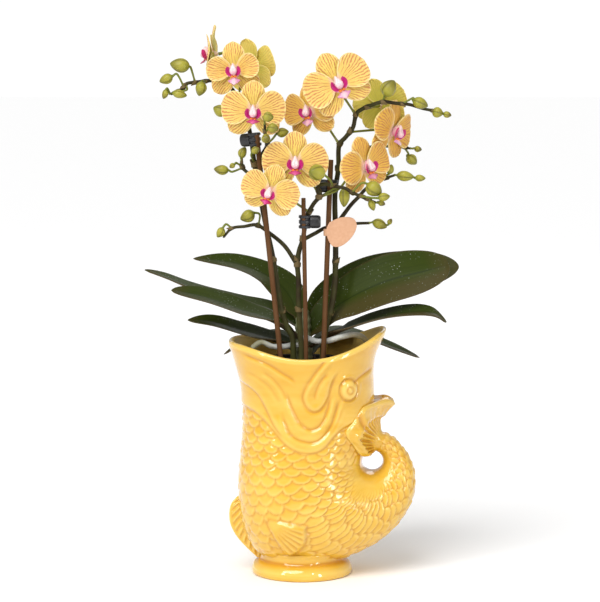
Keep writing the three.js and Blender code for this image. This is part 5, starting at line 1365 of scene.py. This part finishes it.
STEM_BROWN, STEM_GREEN = (0.030, 0.020, 0.010), (0.048, 0.045, 0.013)
STEM_YOUNG = (0.16, 0.19, 0.045)
BRACT_TAN = (0.15, 0.105, 0.045)
stem_skin, nodes, links, shader = new_material("spike_stem", STEM_BROWN, 0.5)
mask, normal = uneven(95, 0.35, 0.65, 0.0003)
base = mixed(read("young"), mixed(mask, STEM_BROWN, STEM_GREEN), STEM_YOUNG)
base = mixed(read("dry"), base, BRACT_TAN)
feed({"Base Color": base, "Normal": normal, "Specular IOR Level": 0.12})

BUD_GREEN, BUD_YELLOW, BUD_OLIVE = (0.17, 0.20, 0.02), (0.40, 0.36, 0.045), (0.11, 0.075, 0.015)
BUD_SHADE, BUD_SEAM = (0.136, 0.16, 0.016), (0.085, 0.075, 0.012)
bud_skin, nodes, links, shader = new_material("bud_and_stalk", BUD_GREEN, 0.34)
mask, normal = uneven(130, 0.3, 0.7, 0.0002)
base = mixed(mask, BUD_SHADE, BUD_GREEN)
for label, tone in (("swell", BUD_YELLOW), ("tone", BUD_OLIVE), ("seam", BUD_SEAM)):
    base = mixed(read(label), base, tone)
feed({
    "Base Color": base,
    "Normal": normal,
    "Specular IOR Level": 0.3,
    "Subsurface Weight": 0.08,
    "Subsurface Radius": (0.002, 0.003, 0.001),
})

BARE_JOINTS = (40, 78)
STEM_SIDES = 14
grower = np.random.default_rng(11)
for spike in SPIKES:
    stems, stalks = [], []
    leaving = [bud[0] for bud in spike["buds"]] + [way[0] for _, way in spike["carries"]]
    leaving += [branch[2][0] for branch in spike["branches"][1:]]
    for number, (radius_from, radius_to, points) in enumerate(spike["branches"]):
        length = np.linalg.norm(np.diff(np.array(points, float), axis=0), axis=1).sum()
        rows = int(length / 0.9) + 8
        share = np.linspace(0, 1, rows)
        spine = curve_through(points, share)
        radius = radius_from + (radius_to - radius_from) * share**1.7
        dry = np.zeros(rows)
        joints = [nearest_share(spine, point) for point in leaving]
        joints = [at for at, gap in joints if gap < 2.5 and 0.02 < at < 0.97]
        if number == 0:
            joints += [along / length for along in BARE_JOINTS]
        for at in joints:
            near_joint = (share - at) * length
            radius = radius * (1 + 0.28 * bell(near_joint, 0, 1.8))
            dry = np.maximum(dry, 0.35 * bell(near_joint, -0.6, 0.9))
        close = np.clip((1 - share) * length / radius, 0.02, 1)
        radius = radius * np.sqrt(1 - (1 - close) ** 2)
        young = 0.2 * smooth_step(0.3, 0.0, share) * (number == 0)
        flutes = 1 + 0.03 * np.sin(3 * full_turn(STEM_SIDES) + number)
        rings = tube_rings(points, radius[:, None] * flutes[None], STEM_SIDES, rows)
        stems.append((rings, {"dry": dry[:, None], "young": young[:, None]}))
        for at in joints:
            sheath = bract(spine, at, np.interp(at, share, radius), grower.uniform(0, 6.28))
            stems.append((sheath, {"dry": 1, "young": 0}))
    for start, knee, at, length, radius, to in spike["buds"]:
        axis = unit(np.array(to, float))
        at = np.array(at, float)
        shape, v, seam = bud_rings(at, axis, 1.04 * length, 1.03 * radius, grower.uniform(0, 6.28))
        olive = grower.uniform(0.1, 0.6) + 0.4 * smooth_step(8, 4, length)
        swell = 0.15 + 0.75 * np.sin(np.pi * v) ** 0.8
        tone = olive * smooth_step(0.2, 0.9, v)
        stalks.append((shape, {"swell": swell, "seam": 0.8 * seam, "tone": tone}))
        behind = at - axis * 0.47 * length
        way = [start, knee, behind - axis * 0.6, behind + axis * 0.12 * length]
        widths = [1.15, 0.95, 0.72, 0.85, 0.45 * radius]
        stalks.append(stalk(way, [0, 0.06, 0.2, 0.85, 1], widths, 30, 0, 0.5))
    for index, way in spike["carries"]:
        at, axes = bloom_axes(BLOOMS[index])
        end = BLOOM_BACK - FIT / BLOOMS[index][3]
        way = [*way, at + axes[2] * (end - 6), at + axes[2] * end]
        widths = [1.35, 1.1, 0.85, 0.95, 1.3]
        stalks.append(stalk(way, [0, 0.04, 0.15, 0.85, 1], widths, 50, 0.15, 0.6))
    stem_piece = closed_piece(f"{spike['name']}_stems", stem_skin, stems)
    stalk_piece = closed_piece(f"{spike['name']}_buds", bud_skin, stalks)
    for piece in (stem_piece, stalk_piece):
        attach(piece, "root")
        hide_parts(spike["name"])

# ---------------------------------------------------------------- sticks and clips
# Round wooden sticks, stained reddish brown and sawn off square, stand in the bark beside the
# spikes. A black plastic grip with three claws and a finger drum holds each spike to its stick.

STICKS = [
    # name, radius, foot, top
    ("stick_left", 1.9, (-14.9, -23, 158), (-33, -23, 328)),
    ("stick_middle", 1.6, (3.1, -24, 158), (1, -22, 282)),
    ("stick_right", 1.9, (15.3, -20.8, 157.5), (21, -15.5, 309.5)),
]
stick_wood, nodes, links, shader = new_material("stained_stick", (0.13, 0.065, 0.03), 0.6)
fibre = noise(1.0, 4.0, stretched(600.0, 600.0, 22.0))
mask, _ = uneven(40, 0.35, 0.65, 0.0002)
base = mixed(fibre, (0.035, 0.014, 0.005), (0.16, 0.068, 0.022))
feed({
    "Base Color": mixed(mask, base, (0.12, 0.055, 0.022)),
    "Normal": bump(fibre, 0.4, 0.0003),
    "Specular IOR Level": 0.12,
})
STICK_SIDES = 20
angle = full_turn(STICK_SIDES)
share = np.r_[0, 0.002, 0.004, np.linspace(0.02, 0.98, 60), 0.9975, 0.999, 1][:, None]
sawn = np.interp(share, [0, 0.004, 0.997, 1], [0.9, 1, 1, 0.88])
for number, (name, radius, low, top) in enumerate(STICKS):
    low, top = np.array(low, float), np.array(top, float)
    side, other = square_to(unit(top - low), [0, 1.0, 0])
    rim = side * np.cos(angle)[:, None] + other * np.sin(angle)[:, None]
    grain = 1 + 0.012 * np.sin(7 * angle + number)[None] * np.cos(9 * share)
    rings = (low + (top - low) * share)[:, None] + rim[None] * (radius * sawn * grain)[..., None]
    stick = closed_piece(f"{name}_rod", stick_wood, [(rings, {})])
    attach(stick, "root")
    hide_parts(name)

CLIPS = [
    # name, place, tilt in degrees, way to the drum along the level axis and in depth
    ("clip_left", (-34.2, -20.3, 324.5), 6, (-0.4, 0.2)),
    ("clip_middle", (2, -19.6, 264.5), 0, (1, 0)),
    ("clip_right", (22, -13, 290), -2, (-1, 0)),
]
clip_plastic, nodes, links, shader = new_material("clip_plastic", (0.012, 0.012, 0.014), 0.35)
mask, normal = uneven(240, 0.3, 0.7, 0.0002)
feed({"Base Color": mixed(mask, (0.008, 0.008, 0.01), (0.028, 0.028, 0.032)), "Normal": normal})
# Along the grip's axis: three claws with gaps between; and along the drum's axis: a neck, then
# a drum with a rolled edge.
CLAW_PROFILE = [
    (0.2, -4.8), (4.1, -4.8), (4.5, -4.4), (4.5, -2.9), (3.6, -2.4), (3.6, -1.6), (4.4, -1.1),
    (4.4, 1.1), (3.6, 1.6), (3.6, 2.4), (4.5, 2.9), (4.5, 4.4), (4.1, 4.8), (0.2, 4.8),
]
DRUM_PROFILE = [
    (0.2, 0), (3.6, 0), (3.6, 3.4), (4.7, 4), (5, 5), (5, 9.4), (4.8, 10.4), (4.3, 11.2),
    (3.4, 11.6), (3, 11.2), (0.2, 11.2),
]
DRUM_SCALE, DRUM_FLAT, DRUM_RIBS = 0.92, 0.62, 20


def profile_rings(profile, steps, sides):
    """Rings of a turned shape from its profile's corners, each a radius and a height."""
    radius, height = np.hsplit(along_profile(profile, steps), 2)
    return lathe_rings(radius, height, sides)


claw_turned, drum_turned = profile_rings(CLAW_PROFILE, 60, 40), profile_rings(DRUM_PROFILE, 50, 40)
drum_angle = np.arctan2(drum_turned[..., 1], drum_turned[..., 0])
drum_ribs = 1 + 0.035 * np.cos(DRUM_RIBS * drum_angle) * smooth_step(4, 5, drum_turned[..., 2])
drum_ribs = DRUM_SCALE * drum_ribs[..., None]
for name, at, tilt, (tab_x, tab_y) in CLIPS:
    tilt = math.radians(tilt)
    upright = np.array([-math.sin(tilt), 0, math.cos(tilt)])
    level = np.array([math.cos(tilt), 0, math.sin(tilt)])
    depth = np.array([0.0, 1, 0])
    claws = claw_turned @ np.stack([level, depth, upright])
    reach = unit(tab_x * level + tab_y * depth)
    cross = np.cross(upright, reach)
    drum = drum_turned[..., :1] * upright + drum_turned[..., 1:2] * cross * DRUM_FLAT
    drum = drum_ribs * drum + drum_turned[..., 2:] * reach
    grip = closed_piece(f"{name}_grip", clip_plastic, [(claws + at, {}), (drum + at, {})])
    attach(grip, "root")
    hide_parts(name)

# ---------------------------------------------------------------- blooms
# Each flower has three sepals behind and two broad petals in front, waxy and golden, with red
# brown veins that fork towards the margin. Their backs are plain yellow green. The second flower
# is still opening: its petals are small and cup forward.

TEPALS = [
    # kind, angle round the face in degrees
    ("sepal", 90), ("sepal", 218), ("sepal", 322), ("petal", 167), ("petal", 13),
]
TEPAL_FORM = {
    # length, half width, rise, fall, lift, cup, how far the tip lies back, spread of its veins
    "sepal": (22.2, 8.6, 0.55, 0.5, -1.4, -0.12, 1.4, 0.7),
    "petal": (23.4, 12.3, 0.66, 0.44, 0.3, 0.1, 2, 1.0),
    "half open petal": (20.5, 9.6, 0.66, 0.44, 0.3, 0.22, -6, 1.0),
}
TEPAL_THICK = 0.8
OPENING, GREEN_BACKED = 2, 11
TEPAL_ROWS, TEPAL_COLUMNS = 34, 24


def tepal_rings(form, angle, draw):
    """A tepal in its bloom's frame: outward along its length v and sideways by u times its half
    width, v^rise (1-v)^fall. It arches forward, cups across, ripples at the margin, and its tip
    lies back. Also gives what its finish reads."""
    length, half, rise, fall, lift, cup, back, spread = form
    v = 0.5 - 0.5 * np.cos(np.pi * np.linspace(0, 1, TEPAL_ROWS) ** 0.9)
    v = np.clip(v, 0.0, 0.9995)[:, None]
    u = np.sin(np.linspace(-np.pi / 2, np.pi / 2, TEPAL_COLUMNS))[None]
    widest = rise / (rise + fall)
    outline = (v / widest) ** rise * ((1 - v) / (1 - widest)) ** fall
    neck = np.clip(1.6 - 14 * v, 0, 1)
    width = half * np.maximum(outline, 0.1 * neck)
    phase, skew, deep = draw.uniform(0, 6.28), draw.uniform(-0.05, 0.05), draw.uniform(0.7, 1.3)
    ripple = 0.55 * deep * np.sin(5.2 * v + 2.2 * u + phase) * np.abs(u) ** 3
    ripple = ripple * smooth_step(0.2, 0.6, v)
    ripple = ripple + 0.35 * np.sin(9 * u + phase) * smooth_step(0.75, 1, v)
    keel = -0.25 * bell(u, 0, 0.16) * smooth_step(0, 0.15, v) * smooth_step(1, 0.5, v)
    z = lift + 2 * np.sin(np.pi * v * 0.8) - back * v * v + cup * width * u * u + ripple + keel
    along = 1.6 + (length - 1) * (v - 0.03 * u * u * v)
    aside = width * u + skew * length * v * v
    cos_a, sin_a = math.cos(math.radians(angle)), math.sin(math.radians(angle))
    middle = points_of(along * cos_a - aside * sin_a, along * sin_a + aside * cos_a, z)
    thickness = TEPAL_THICK * (0.55 + 0.45 * (1 - u**2)) * smooth_step(-0.02, 0.05, 1 - v)
    fan = np.arctan2(aside, along + 1.5) / math.radians(62)
    vein = spread * fan + (1 - spread) * 0.5 * u
    inner = np.minimum((1 - np.abs(u)) * width, (1 - v) * length)
    looks = blade_looks(middle, "front", vein=vein, along=v, inner=inner)
    return thick_blade(middle, thickness), looks


PETAL_GOLD, PETAL_CREAM, PETAL_ORANGE = (0.85, 0.62, 0.17), (0.88, 0.70, 0.33), (0.72, 0.41, 0.06)
PETAL_BLUSH, PETAL_HEART, SEPAL_GOLD = (0.84, 0.54, 0.22), (0.90, 0.70, 0.18), (0.80, 0.65, 0.14)
PETAL_GLOW, VEIN_RED, BACK_VEIN = (0.90, 0.66, 0.56), (0.50, 0.17, 0.06), (0.36, 0.26, 0.05)
BACK_GREEN, BACK_OLIVE, BACK_GOLD = (0.50, 0.45, 0.06), (0.50, 0.44, 0.06), (0.80, 0.62, 0.15)
BACK_MARGIN = (0.74, 0.62, 0.22)
VEINS, VEIN_WIDTH, FORK_WIDTH = 5.3, 0.07, 0.055
tepal_skin, nodes, links, shader = new_material("veined_tepal", PETAL_GOLD, 0.5)
along, inner = read("along"), read("inner")
wander, break_up = noise(150.0, 3.0), noise(420.0, 2.0)
bent = arithmetic("ADD", times(read("vein"), VEINS), ramp(wander, 0.2, 0.8, -0.3, 0.3))


def vein_lines(shift, width):
    """Lines where the count of veins plus shift is within width of half past a whole number."""
    off = arithmetic("SUBTRACT", arithmetic("FRACT", arithmetic("ADD", bent, shift)), 0.5)
    return ramp(arithmetic("ABSOLUTE", off), width, width * 2.4, 1.0, 0.0)


main_veins = times(vein_lines(0.0, VEIN_WIDTH), ramp(along, 0.06, 0.3))
forks = times(vein_lines(0.5, FORK_WIDTH), ramp(along, 0.3, 0.55))
lines = times(arithmetic("MAXIMUM", main_veins, forks), ramp(inner, 0.1, 0.9))
lines = times(lines, ramp(break_up, 0.32, 0.5, 0.35, 1.0))
lines = times(lines, ramp(along, 0.9, 1.0, 1.0, 0.5))
gold = mixed(times(read("sepal"), 0.8), PETAL_GOLD, SEPAL_GOLD)
gold = mixed(ramp(along, 0.45, 0.95, 0.0, 0.45), gold, PETAL_BLUSH)
gold = mixed(read("warm"), gold, PETAL_ORANGE)
face = mixed(ramp(inner, 2.2, 0.2, 0.0, 0.8), gold, PETAL_CREAM)
face = mixed(ramp(along, 0.3, 0.05, 0.0, 0.9), face, PETAL_HEART)
face = mixed(ramp(along, 0.2, 0.06, 0.0, 0.85), face, PETAL_GLOW)
face = mixed(times(lines, ramp(along, 0.1, 0.5, 0.45, 0.85)), face, VEIN_RED)
back = mixed(ramp(along, 0.1, 0.8), BACK_GREEN, BACK_GOLD)
back = mixed(times(read("green"), ramp(along, 0.2, 1.0, 1.0, 0.45)), back, BACK_OLIVE)
back = mixed(ramp(inner, 1.6, 0.2, 0.0, 0.6), back, BACK_MARGIN)
back = mixed(times(lines, 0.3), back, BACK_VEIN)
feed({
    "Base Color": mixed(read("front"), back, face),
    "Normal": bump(arithmetic("ADD", lines, wander), 0.35, 0.0003),
    "Subsurface Weight": 0.12,
    "Subsurface Radius": (0.004, 0.002, 0.0008),
    "Specular IOR Level": 0.3,
})

# ---------------------------------------------------------------- lips
# In the middle of each flower: the white and pink column, two magenta ears that stand up beside
# it, an orange wart between them, and the pointed mid lobe that juts out or hangs below.

LIP_WHITE, LIP_PINK, LIP_LILAC = (0.84, 0.62, 0.60), (0.72, 0.32, 0.44), (0.62, 0.30, 0.52)
LIP_MAGENTA, LIP_CRIMSON, LIP_ORANGE = (0.55, 0.015, 0.20), (0.42, 0.008, 0.05), (0.88, 0.25, 0.01)
lip_skin, nodes, links, shader = new_material("lip_skin", LIP_PINK, 0.4)
mask, normal = uneven(700, 0.35, 0.65, 0.0002)
stain = add_node("ShaderNodeAttribute", attribute_name="stain").outputs["Color"]
feed({
    "Base Color": mixed(times(mask, 0.35), stain, mixed(0.35, stain, LIP_MAGENTA)),
    "Normal": normal,
    "Subsurface Weight": 0.1,
    "Subsurface Radius": (0.003, 0.001, 0.001),
    "Coat Weight": 0.2,
})


def blended(share, first, second):
    """Colours between two, first + share * (second - first), by a share for each point."""
    first, second = np.asarray(first), np.asarray(second)
    return first + (second - first) * np.clip(share, 0, 1)[..., None]


def ellipsoid(middle, half, rows=16, sides=20):
    """A closed ball stretched along its axes, as rings from its foot to its top."""
    tilt = np.linspace(0.02, np.pi - 0.02, rows)[:, None]
    return np.array(middle) + lathe_rings(np.sin(tilt), -np.cos(tilt), sides) * np.array(half)


def lip_parts(droop, pale):
    """The parts of a lip in its bloom's frame, each as rings and a colour for each point."""
    # The column: a club with a drop-shaped hood, narrow above and full below.
    v = np.linspace(0, 1, 26)[:, None]
    angle = full_turn(24)[None]
    swell = np.interp(v, [0, 0.25, 0.65, 0.85, 0.96, 1], [2.3, 2.4, 2.9, 2.5, 1.4, 0.3])
    rise = np.maximum(np.sin(angle), 0)
    x = swell * np.cos(angle) * (1 - 0.45 * rise**2)
    y = 0.5 - 0.5 * (1 - v) + swell * (1.15 * np.sin(angle) + 0.9 * rise**2) - 0.9 * v**3
    z = 1.75 + 8.1 * v - 1.6 * rise * v
    pinkness = 0.8 * smooth_step(0.5, 0.0, v) + 0.55 * smooth_step(0.2, -0.8, np.sin(angle))
    parts = [(points_of(x, y, z), blended(pinkness, LIP_WHITE, LIP_PINK))]
    # The ears: cupped blades that stand beside the column and curl in over it at the top.
    v = np.linspace(0, 1, 22)[:, None]
    u = np.linspace(-1, 1, 14)[None]
    half = 2.7 * np.sin(np.pi * (0.12 + 0.82 * v)) ** 0.6
    curl = math.radians(18) + math.radians(34) * v
    flush = smooth_step(-1.0, -0.2, u) * smooth_step(0.0, 0.2, v)
    color = blended(both_faces(flush), LIP_PINK, LIP_MAGENTA)
    rim = both_faces(smooth_step(0.5, 1, np.abs(u)) * smooth_step(0.2, 0.5, v))
    color = blended(0.5 * rim, color, LIP_CRIMSON)
    for sign in (-1, 1):
        x = sign * (1.2 + 2.7 * np.sin(np.pi * (0.04 + 0.62 * v)) + half * u * np.cos(curl))
        y = -5.0 + 8.2 * v + 0.4 * u
        z = 4.8 + 1.6 * v + half * u * np.sin(curl) + 0.8 * u * u
        thickness = 0.5 * np.sin(np.pi * (0.06 + 0.9 * v)) ** 0.3 + 0 * u
        parts.append((thick_blade(points_of(x, y, z), thickness), color))
    # The wart: two low bumps where the mid lobe leaves.
    for sign in (-1, 1):
        wart = ellipsoid((1.15 * sign, -4.4, 5.6), (1.25, 1.0, 1.5))
        parts.append((wart, np.array([[LIP_ORANGE]])))
    # The mid lobe: narrow at its neck, broad as an anchor, and drawn to a point with two horns.
    v = np.clip(np.linspace(0, 1, 28), 0.001, 0.999)[:, None]
    u = np.linspace(-1, 1, 22)[None]
    half = np.interp(v, [0, 0.18, 0.5, 0.66, 0.8, 0.92, 1], [1.6, 1.5, 3.4, 5.0, 4.0, 1.7, 0.25])
    dip = math.radians(droop)
    run = 8.0 * v - 1.6 * u * u * smooth_step(0.35, 0.7, v)
    hang = 0.05 * half * half * u * u
    y = -4.0 - run * math.sin(dip) - hang * math.cos(dip) + 0.5 * np.sin(np.pi * v)
    z = 4.4 + run * math.cos(dip) * 0.8 - 0.10 * half * u * u * math.sin(dip)
    middle = points_of(half * u, y, z)
    thickness = 0.9 * (1 - 0.55 * u * u) * smooth_step(1.02, 0.9, v) + 0.12
    edge_color = blended(np.array(pale), LIP_CRIMSON, LIP_LILAC)
    heart_color = blended(np.array(pale), LIP_MAGENTA, LIP_WHITE)
    color = blended(both_faces(smooth_step(0.05, 0.75, np.abs(u) + 0 * v)), heart_color, edge_color)
    near_neck = both_faces(smooth_step(0.3, 0.08, v) + 0 * u)
    parts.append((thick_blade(middle, thickness), blended(0.7 * near_neck, color, LIP_WHITE)))
    return parts


CORE_PROFILE = [
    (0.2, BLOOM_BACK), (1.3, BLOOM_BACK), (2.4, -1.4), (3.2, 0.4), (2.8, BLOOM_FRONT),
    (0.2, BLOOM_FRONT),
]
core = profile_rings(CORE_PROFILE, 20, 20)
core_looks = {"vein": 0, "along": 0, "inner": 0, "front": 1, "warm": 0, "green": 0, "sepal": 0}
for number, bloom in enumerate(BLOOMS, 1):
    at, axes = bloom_axes(bloom)
    warm, droop, pale = bloom[4:]
    draw = np.random.default_rng(100 + number)
    tepals = []
    for kind, angle in TEPALS:
        opening = kind == "petal" and number == OPENING
        form = TEPAL_FORM["half open petal" if opening else kind]
        rings, looks = tepal_rings(form, angle + draw.uniform(-2, 2), draw)
        looks.update(warm=warm, sepal=kind == "sepal", green=number == GREEN_BACKED)
        tepals.append((at + rings @ axes, looks))
    tepals.append((at + core @ axes, core_looks))
    flower = closed_piece(f"bloom_{number}_flower", tepal_skin, tepals)
    throat = [(at + rings @ axes, {"stain": color}) for rings, color in lip_parts(droop, pale)]
    lip = closed_piece(f"bloom_{number}_throat", lip_skin, throat)
    for piece, node, finish in ((flower, "tepals", "tepals"), (lip, "lip", "lip")):
        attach(piece, "root")
        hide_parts(f"bloom_{number}_{node}")

# ---------------------------------------------------------------- care tag
# A rounded salmon card, left plain, on a short collar that grips the right stick.

TAG_AT, TAG_THICK = (28.5, -20.6, 256.5), 1
TAG_OUTLINE = [
    (-8.6, 7.6), (0, 11.2), (8.6, 10.6), (11.4, 5.2), (8, -3), (0.4, -9.6), (-6.2, -9.8), (-10, -3.6),
    (-10.8, 2.4), (-8.6, 7.6),
]
TAG_EDGE = [
    # depth in thicknesses, share of the outline, from the middle of one face to that of the other
    (-0.5, 0.02), (-0.5, 0.4), (-0.5, 0.75), (-0.5, 0.975), (-0.42, 1), (0.42, 1), (0.5, 0.975),
    (0.5, 0.75), (0.5, 0.4), (0.5, 0.02),
]
COLLAR_PROFILE = [(0.2, -2.5), (3.1, -2.5), (3.4, -2.1), (3.4, 2.1), (3.1, 2.5), (0.2, 2.5)]
tag_card, nodes, links, shader = new_material("tag_card", (0.86, 0.55, 0.36), 0.7)
mask, normal = uneven(500, 0.3, 0.7, 0.0001)
feed({"Base Color": mixed(mask, (0.60, 0.32, 0.18), (0.65, 0.37, 0.22)), "Normal": normal})
edge_x, edge_z = curve_through(TAG_OUTLINE, np.linspace(0, 1, 90)[:-1]).T
depth, share = np.hsplit(np.array(TAG_EDGE), 2)
card = points_of(
    TAG_AT[0] + share * edge_x, TAG_AT[1] + 0.5 + TAG_THICK * depth, TAG_AT[2] + share * edge_z,
)
_, _, low, top = STICKS[2]
share = (TAG_AT[2] - low[2]) / (top[2] - low[2])
collar_at = np.array(low) + share * (np.array(top) - np.array(low))
collar = profile_rings(COLLAR_PROFILE, 24, 40) + collar_at
tag = closed_piece("care_tag", tag_card, [(card, {}), (collar, {})])
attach(tag, "root")
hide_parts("tag")
